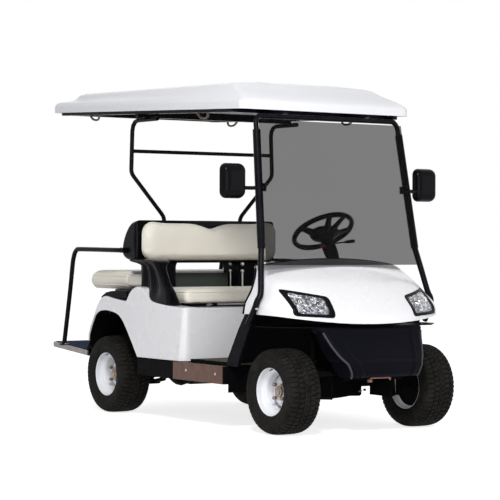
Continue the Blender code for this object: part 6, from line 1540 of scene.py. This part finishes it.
def make_steering_wheel():
    right = Vector((1, 0, 0))
    up = STEERING_AXIS.cross(right).normalized()

    def at(across_x, across_y, along):
        return STEERING_CENTRE + right * across_x + up * across_y + STEERING_AXIS * along

    rings = []
    for i in range(96):
        angle = 2 * math.pi * i / 96
        point = at(RIM_RADIUS * math.cos(angle), RIM_RADIUS * math.sin(angle), 0)
        out = right * math.cos(angle) + up * math.sin(angle)
        thick = 1 + 0.10 * math.cos(2 * angle) ** 4
        section = []
        for k in range(14):
            a = 2 * math.pi * k / 14
            grip = 0.0011 * math.cos(16 * angle) * max(0.0, -math.cos(a))
            reach = out * (0.0142 * thick * math.cos(a) + grip)
            section.append(point + reach + STEERING_AXIS * 0.0150 * thick * math.sin(a))
        rings.append(section)
    rim = Shape().grid(rings, wrap_rows=True, wrap_columns=True).object("steering_rim", "gloss_black", 60)
    placed(rim, "moulded_black", "steering_wheel", body="steering")
    rows = []
    for along, radius in HUB_SECTION:
        row = []
        for k in range(40):
            a = 2 * math.pi * k / 40
            stretch = 1 + 0.16 * math.cos(2 * a) - 0.05 * math.sin(3 * a)
            row.append(at(radius * stretch * math.cos(a), radius * stretch * 0.94 * math.sin(a), along))
        rows.append(row)
    placed(Shape().loft(rows).object("steering_pad", "gloss_black", 50), "moulded_black", body="steering")
    spokes = Shape()
    for degrees, wide_in, wide_out in SPOKES:
        angle = math.radians(degrees)
        out = right * math.cos(angle) + up * math.sin(angle)
        wide = STEERING_AXIS.cross(out).normalized()
        rings = []
        for distance, drop, half, thick in (
            (0.030, 0.030, wide_in, 0.013), (0.085, 0.022, wide_in * 0.86, 0.011),
            (0.130, 0.010, wide_out, 0.009), (0.172, 0.002, wide_out * 0.9, 0.008),
        ):
            base = STEERING_CENTRE + out * distance - STEERING_AXIS * drop
            angles = [2 * math.pi * k / 16 for k in range(16)]
            rings.append([base + wide * half * math.cos(a) + STEERING_AXIS * thick * math.sin(a) for a in angles])
        spokes.loft(rings)
    placed(spokes.object("steering_spokes", "gloss_black", 50), "moulded_black", body="steering")
    radii = [(0, 0.0095), (0.8, 0.0095), (0.82, 0.0098), (1, 0.0098)]
    shaft = Shape().rod(at(0, 0, -0.650), at(0, 0, -0.040), radii, 20)
    placed(shaft.object("steering_shaft", "tube_black", 40), "tube_black", body="steering")
    column = Shape().spun(COLUMN_SECTION, 28, STEERING_CENTRE, STEERING_AXIS, closed=True)
    placed(column.object("column_shroud", "moulded_black", 40, edge=0.001), "moulded_black", "steering_column")
    start = at(0.030, 0, -0.086)
    lever = Shape().rod(start, start + Vector((0.165, 0, 0.017)), LEVER, 18)
    placed(lever.object("gear_lever", "moulded_black", 50), "moulded_black")
    radii = [(0, 0.0125), (0.75, 0.0125), (0.9, 0.0115), (1, 0.008)]
    switch = Shape().rod(at(-0.036, -0.006, -0.110), at(-0.062, -0.010, -0.110), radii, 20)
    placed(switch.object("column_switch", "switch_red", 40), "tail_red")


# Mirrors
# Rings of the housing: place along Y from its middle, and share of its size
HOUSING_RINGS = (
    (-0.025, 0.30), (-0.0245, 0.50), (-0.022, 0.68), (-0.016, 0.82), (-0.007, 0.915), (0.004, 0.965), (0.014, 0.99),
    (0.020, 1.0), (0.0245, 0.99), (0.025, 0.965), (0.0235, 0.94), (0.020, 0.93),
)


def make_mirror(label, side):
    centre = Vector((side * 0.658, -0.850, 1.355))

    def outline(half_x, half_z, corner, y):
        return [(centre.x + x, y, centre.z + z) for x, z in sum(rounded(half_x, half_z, corner, 8), [])]

    rings = [outline(0.0765 * s, 0.0945 * s, 0.036 * s, centre.y + d) for d, s in HOUSING_RINGS]
    housing = Shape().loft(rings).object(f"mirror_housing_{label}", "gloss_black", 50)
    placed(housing, "moulded_black", f"mirror_{label}")
    post = Vector((side * 0.508, -0.868, 1.322))
    path = [post, post + Vector((side * 0.030, 0.006, -0.004)), post + Vector((side * 0.075, 0.016, -0.004))]
    arm = Shape().tube(smooth_path([*path, centre + Vector((-side * 0.030, 0, -0.034))], 6), 0.0105, 14)
    low, high = post + Vector((-side * 0.024, 0, -0.020)), post + Vector((-side * 0.026, 0.0005, 0.022))
    arm.rod(low, high, [(0, 0.0215), (1, 0.0215)], 20)
    placed(arm.object(f"mirror_arm_{label}", "tube_black", 40, edge=0.0008), "tube_black")
    rows = [
        outline(0.0700 * s, 0.0880 * s, 0.030 * s, centre.y + 0.0212 + 0.0004 * (1 - s)) for s in (1.0, 0.6, 0.2)
    ]
    pane = Shape().grid(rows, wrap_columns=True).cap(rows[-1]).object(f"mirror_pane_{label}", "mirror_glass", 50)
    placed(thickened(facing(pane, centre), 0.002), "lamp_lens")


# Windscreen frame: each side's lower tube and sleeve, and the header's half from the side to the middle
FRAME_PATH = (
    (0.6060, -0.914, 0.586), (0.603, -0.950, 0.640), (0.600, -0.974, 0.680), (0.592, -0.983, 0.715),
    (0.570, -0.981, 0.757), (0.548, -0.950, 0.880), (0.525, -0.919, 1.004),
)
SLEEVE_PATH = ((0.526, -0.921, 0.992), (0.489, -0.815, 1.639))
HEADER_PATH = (
    (0.489, -0.815, 1.630), (0.487, -0.806, 1.672), (0.477, -0.799, 1.700), (0.455, -0.796, 1.711),
    (0.430, -0.795, 1.713), (0.0, -0.795, 1.713),
)
BOLT_HEAD = [(0, 0.0075), (0.6, 0.0075), (1, 0.005)]


def make_windscreen_frame():
    shape = Shape()
    header = [Vector((-x, y, z)) for x, y, z in HEADER_PATH] + [Vector(p) for p in HEADER_PATH[-2::-1]]
    shape.tube(smooth_path(header, 4), 0.0140, 14)
    for _, side in SIDES:
        lower = [Vector((side * x, y, z)) for x, y, z in FRAME_PATH]
        upper = [Vector((side * x, y, z)) for x, y, z in SLEEVE_PATH]
        shape.tube(smooth_path(lower, 4), 0.0165, 16)
        shape.rod(upper[0], upper[1], [(0, 0.0165), (0.006, 0.0215), (0.994, 0.0215), (1, 0.0165)], 18)
    placed(shape.object("windscreen_tubes", "tube_black", 50), "tube_black", "windscreen_frame")
    bolts = Shape()
    for _, side in SIDES:
        bolts.rod((side * 0.601, -0.975, 0.672), (side * 0.603, -0.998, 0.672), BOLT_HEAD, 12)
    placed(bolts.object("windscreen_bolts", "bare_metal", 40), "trim_aluminium")


# The beam's outline across and up, and a brake drum's section as (along, radius)
BEAM_OUTLINE = (
    (-0.196, 0.330), (-0.200, 0.180), (-0.192, 0.168), (-0.120, 0.170), (-0.070, 0.165), (0.0, 0.160),
    (0.070, 0.165), (0.120, 0.170), (0.192, 0.168), (0.200, 0.180), (0.196, 0.330),
)
DRUM_SECTION = (
    (0.012, 0.0008), (0.012, 0.108), (0.030, 0.113), (0.052, 0.112), (0.056, 0.104), (0.058, 0.040), (0.058, 0.0008),
)


def make_front_axle():
    """The beam and brake drums seen between the front wheels."""
    rings = [[(x, y, z) for x, z in BEAM_OUTLINE] for y in (-0.862, -0.798)]
    placed(Shape().loft(rings).object("front_axle_beam", "chassis_black", 40, edge=0.006), "chassis_black")
    for label, side in SIDES:
        drum = Shape().spun(DRUM_SECTION, 40, centre_of(f"tyre_f{label}"), Vector((-side, 0, 0)))
        placed(drum.object(f"brake_drum_f{label}", "chassis_black", 40), "chassis_black", body=f"wheel_f{label}")


CARPET_EDGE = 0.012


def make_floor_mat():
    shape = Shape()
    low, high = (-0.545, -0.700), (0.545, -0.290)
    rows = []
    for i in range(47):
        y = low[1] + (high[1] - low[1]) * i / 46
        row = []
        for k in range(110):
            x = low[0] + (high[0] - low[0]) * k / 109
            edge = min(1.0, min(x - low[0], high[0] - x, y - low[1], high[1] - y) / CARPET_EDGE)
            rib = 0.0016 * (math.sin(x * 190) * math.sin(y * 210))
            row.append((x, y, 0.3562 + 0.010 * max(0.0, edge) ** 0.5 + rib * (edge >= 1)))
        rows.append(row)
    mat = thickened(facing(shape.grid(rows).object("floor_carpet", "floor_mat", 40), (0, -0.5, 0.2)), 0.002)
    placed(mat, "floor_mat")
    bolts = Shape()
    for side in (1, -1):
        for y, z in ((-0.300, 0.307), (-0.600, 0.303)):
            bolts.rod((side * 0.6085, y, z), (side * 0.6125, y, z), [(0, 0.0075), (0.6, 0.0075), (1, 0.004)], 14)
    placed(bolts.object("sill_bolts", "bare_metal", 40), "trim_aluminium")


# A grip's half loop: distance from the middle across and along the cart, and drop below the roof's edge
GRIP_LOOP = (
    (0.512, -0.058, 0.000), (0.506, -0.052, 0.018), (0.500, -0.034, 0.036), (0.498, 0.0, 0.042), (0.500, 0.034, 0.036),
    (0.506, 0.052, 0.018), (0.512, 0.058, 0.000),
)


def roof_edge(y):
    """The height just under the roof's edge."""
    return ROOF_EDGE_Z + ROOF_HEIGHT * 0.41 * (y - ROOF_FRONT_Y) / ROOF_LENGTH - 0.004


def make_grips():
    """Hand grips hung inside the roof's edge, and the bronze rods between them."""
    loops, rods = Shape(), Shape()
    for side in (1, -1):
        for y in (0.930, -0.304):
            path = [(side * x, y + along, roof_edge(y + along) - drop) for x, along, drop in GRIP_LOOP]
            loops.tube(smooth_path(path, 4), 0.0068, 8)
        for ends in ((0.42, 0.70), (-0.20, 0.20)):
            low, high = ((side * 0.520, y, roof_edge(y) - 0.004) for y in ends)
            rods.rod(low, high, [(0, 0.0085), (1, 0.0085)], 12)
    placed(loops.object("roof_grips", "grip_bronze", 50), "chassis_black")
    placed(rods.object("roof_rods", "grip_bronze", 50), "chassis_black")


# Each collar's place across, along and up, and its radius
COLLARS = (
    (0.148, -0.952, 0.300, 0.011), (0.150, -0.952, 0.210, 0.009), (0.118, -0.952, 0.205, 0.010),
    (0.118, -0.952, 0.440, 0.008),
)


def make_brass_collars():
    """Bright collars and grease fittings on the front coil units."""
    shape = Shape()
    for side in (1, -1):
        for x, y, z, radius in COLLARS:
            radii = [(0, radius * 0.7), (0.3, radius), (0.7, radius), (1, radius * 0.7)]
            shape.rod((side * x, y, z - 0.006), (side * x, y, z + 0.006), radii, 16)
    placed(shape.object("coil_collars", "grip_bronze", 50), "chassis_black")


# Stage: floor, world and lamps
FLOOR_HALF = 40.0
FLOOR_BELOW = 0.5 * MM


def make_floor():
    """A plain pale floor that shows white to the camera and keeps the shadow."""
    bm = bmesh.new()
    bmesh.ops.create_grid(bm, x_segments=2, y_segments=2, size=FLOOR_HALF)
    mesh = bpy.data.meshes.new("floor")
    bm.to_mesh(mesh)
    bm.free()
    floor = bpy.data.objects.new("floor", mesh)
    floor.location.z = -FLOOR_BELOW
    bpy.context.scene.collection.objects.link(floor)
    material = bpy.data.materials.new("floor")
    material.use_nodes = True
    tree = material.node_tree
    shader = tree.nodes["Principled BSDF"]
    shader.inputs["Base Color"].default_value = (0.80, 0.80, 0.80, 1)
    shader.inputs["Roughness"].default_value = 0.9
    mesh.materials.append(material)
    return tree


def white_behind(tree):
    """1 where a camera, glossy or transmission ray meets this shader, and 0 elsewhere."""
    path = tree.nodes.new("ShaderNodeLightPath")
    first = tree.nodes.new("ShaderNodeMath")
    second = tree.nodes.new("ShaderNodeMath")
    for node in (first, second):
        node.operation = "MAXIMUM"
    tree.links.new(path.outputs["Is Camera Ray"], first.inputs[0])
    tree.links.new(path.outputs["Is Glossy Ray"], first.inputs[1])
    tree.links.new(first.outputs[0], second.inputs[0])
    tree.links.new(path.outputs["Is Transmission Ray"], second.inputs[1])
    return second.outputs[0]


WORLD_STRENGTH = 0.37
FLOOR_GLOW = 0.76


def make_world():
    world = bpy.data.worlds.new("studio")
    bpy.context.scene.world = world
    world.use_nodes = True
    tree = world.node_tree
    out = tree.nodes["World Output"]
    plain = tree.nodes["Background"]
    plain.inputs["Color"].default_value = (0.93, 0.95, 1.0, 1)
    plain.inputs["Strength"].default_value = WORLD_STRENGTH
    white = tree.nodes.new("ShaderNodeBackground")
    white.inputs["Color"].default_value = (1, 1, 1, 1)
    white.inputs["Strength"].default_value = 1.0
    mix = tree.nodes.new("ShaderNodeMixShader")
    tree.links.new(white_behind(tree), mix.inputs[0])
    tree.links.new(plain.outputs[0], mix.inputs[1])
    tree.links.new(white.outputs[0], mix.inputs[2])
    tree.links.new(mix.outputs[0], out.inputs["Surface"])


# Each lamp: place, the point it faces, the size of its panel, and its power in watts
LAMPS = (
    ("key", (-3.5, -4.8, 4.8), (0, 0, 0.9), 1.2, 285),
    ("fill", (4.0, -6.2, 1.6), (0, 0, 0.8), 4.2, 60),
    ("front", (-3.6, -6.6, 0.9), (0, 0, 0.9), 3.4, 115),
    ("back", (2.6, 5.6, 3.4), (0, 0, 1.0), 3.6, 20),
)


def make_lamps():
    for name, place, target, size, power in LAMPS:
        data = bpy.data.lights.new(name, "AREA")
        data.size = size
        data.energy = power
        lamp = bpy.data.objects.new(name, data)
        lamp.location = place
        lamp.rotation_euler = (Vector(target) - Vector(place)).to_track_quat("-Z", "Y").to_euler()
        bpy.context.scene.collection.objects.link(lamp)


def make_stage():
    tree = make_floor()
    out = tree.nodes["Material Output"]
    plain = tree.nodes["Principled BSDF"]
    glow = tree.nodes.new("ShaderNodeEmission")
    glow.inputs["Strength"].default_value = FLOOR_GLOW
    add = tree.nodes.new("ShaderNodeMixShader")
    tree.links.new(white_behind(tree), add.inputs[0])
    tree.links.new(plain.outputs[0], add.inputs[1])
    both = tree.nodes.new("ShaderNodeAddShader")
    tree.links.new(plain.outputs[0], both.inputs[0])
    tree.links.new(glow.outputs[0], both.inputs[1])
    tree.links.new(both.outputs[0], add.inputs[2])
    tree.links.new(add.outputs[0], out.inputs["Surface"])
    make_world()
    make_lamps()
    bpy.context.scene.view_settings.view_transform = "Standard"


make_camera()
make_stage()
dress_frame()
make_tyres()
make_rims()
make_roof()
make_cowl()
make_rear_body()
make_backrest_shell()
make_rear_fittings()
make_footplate()
make_grab_bars()
make_bumper()
make_steering_wheel()
for label, side in SIDES:
    make_hip_bracket(label, side)
    make_mirror(label, side)
make_windscreen_frame()
make_front_axle()
make_floor_mat()
make_grips()
make_brass_collars()
make_seats()
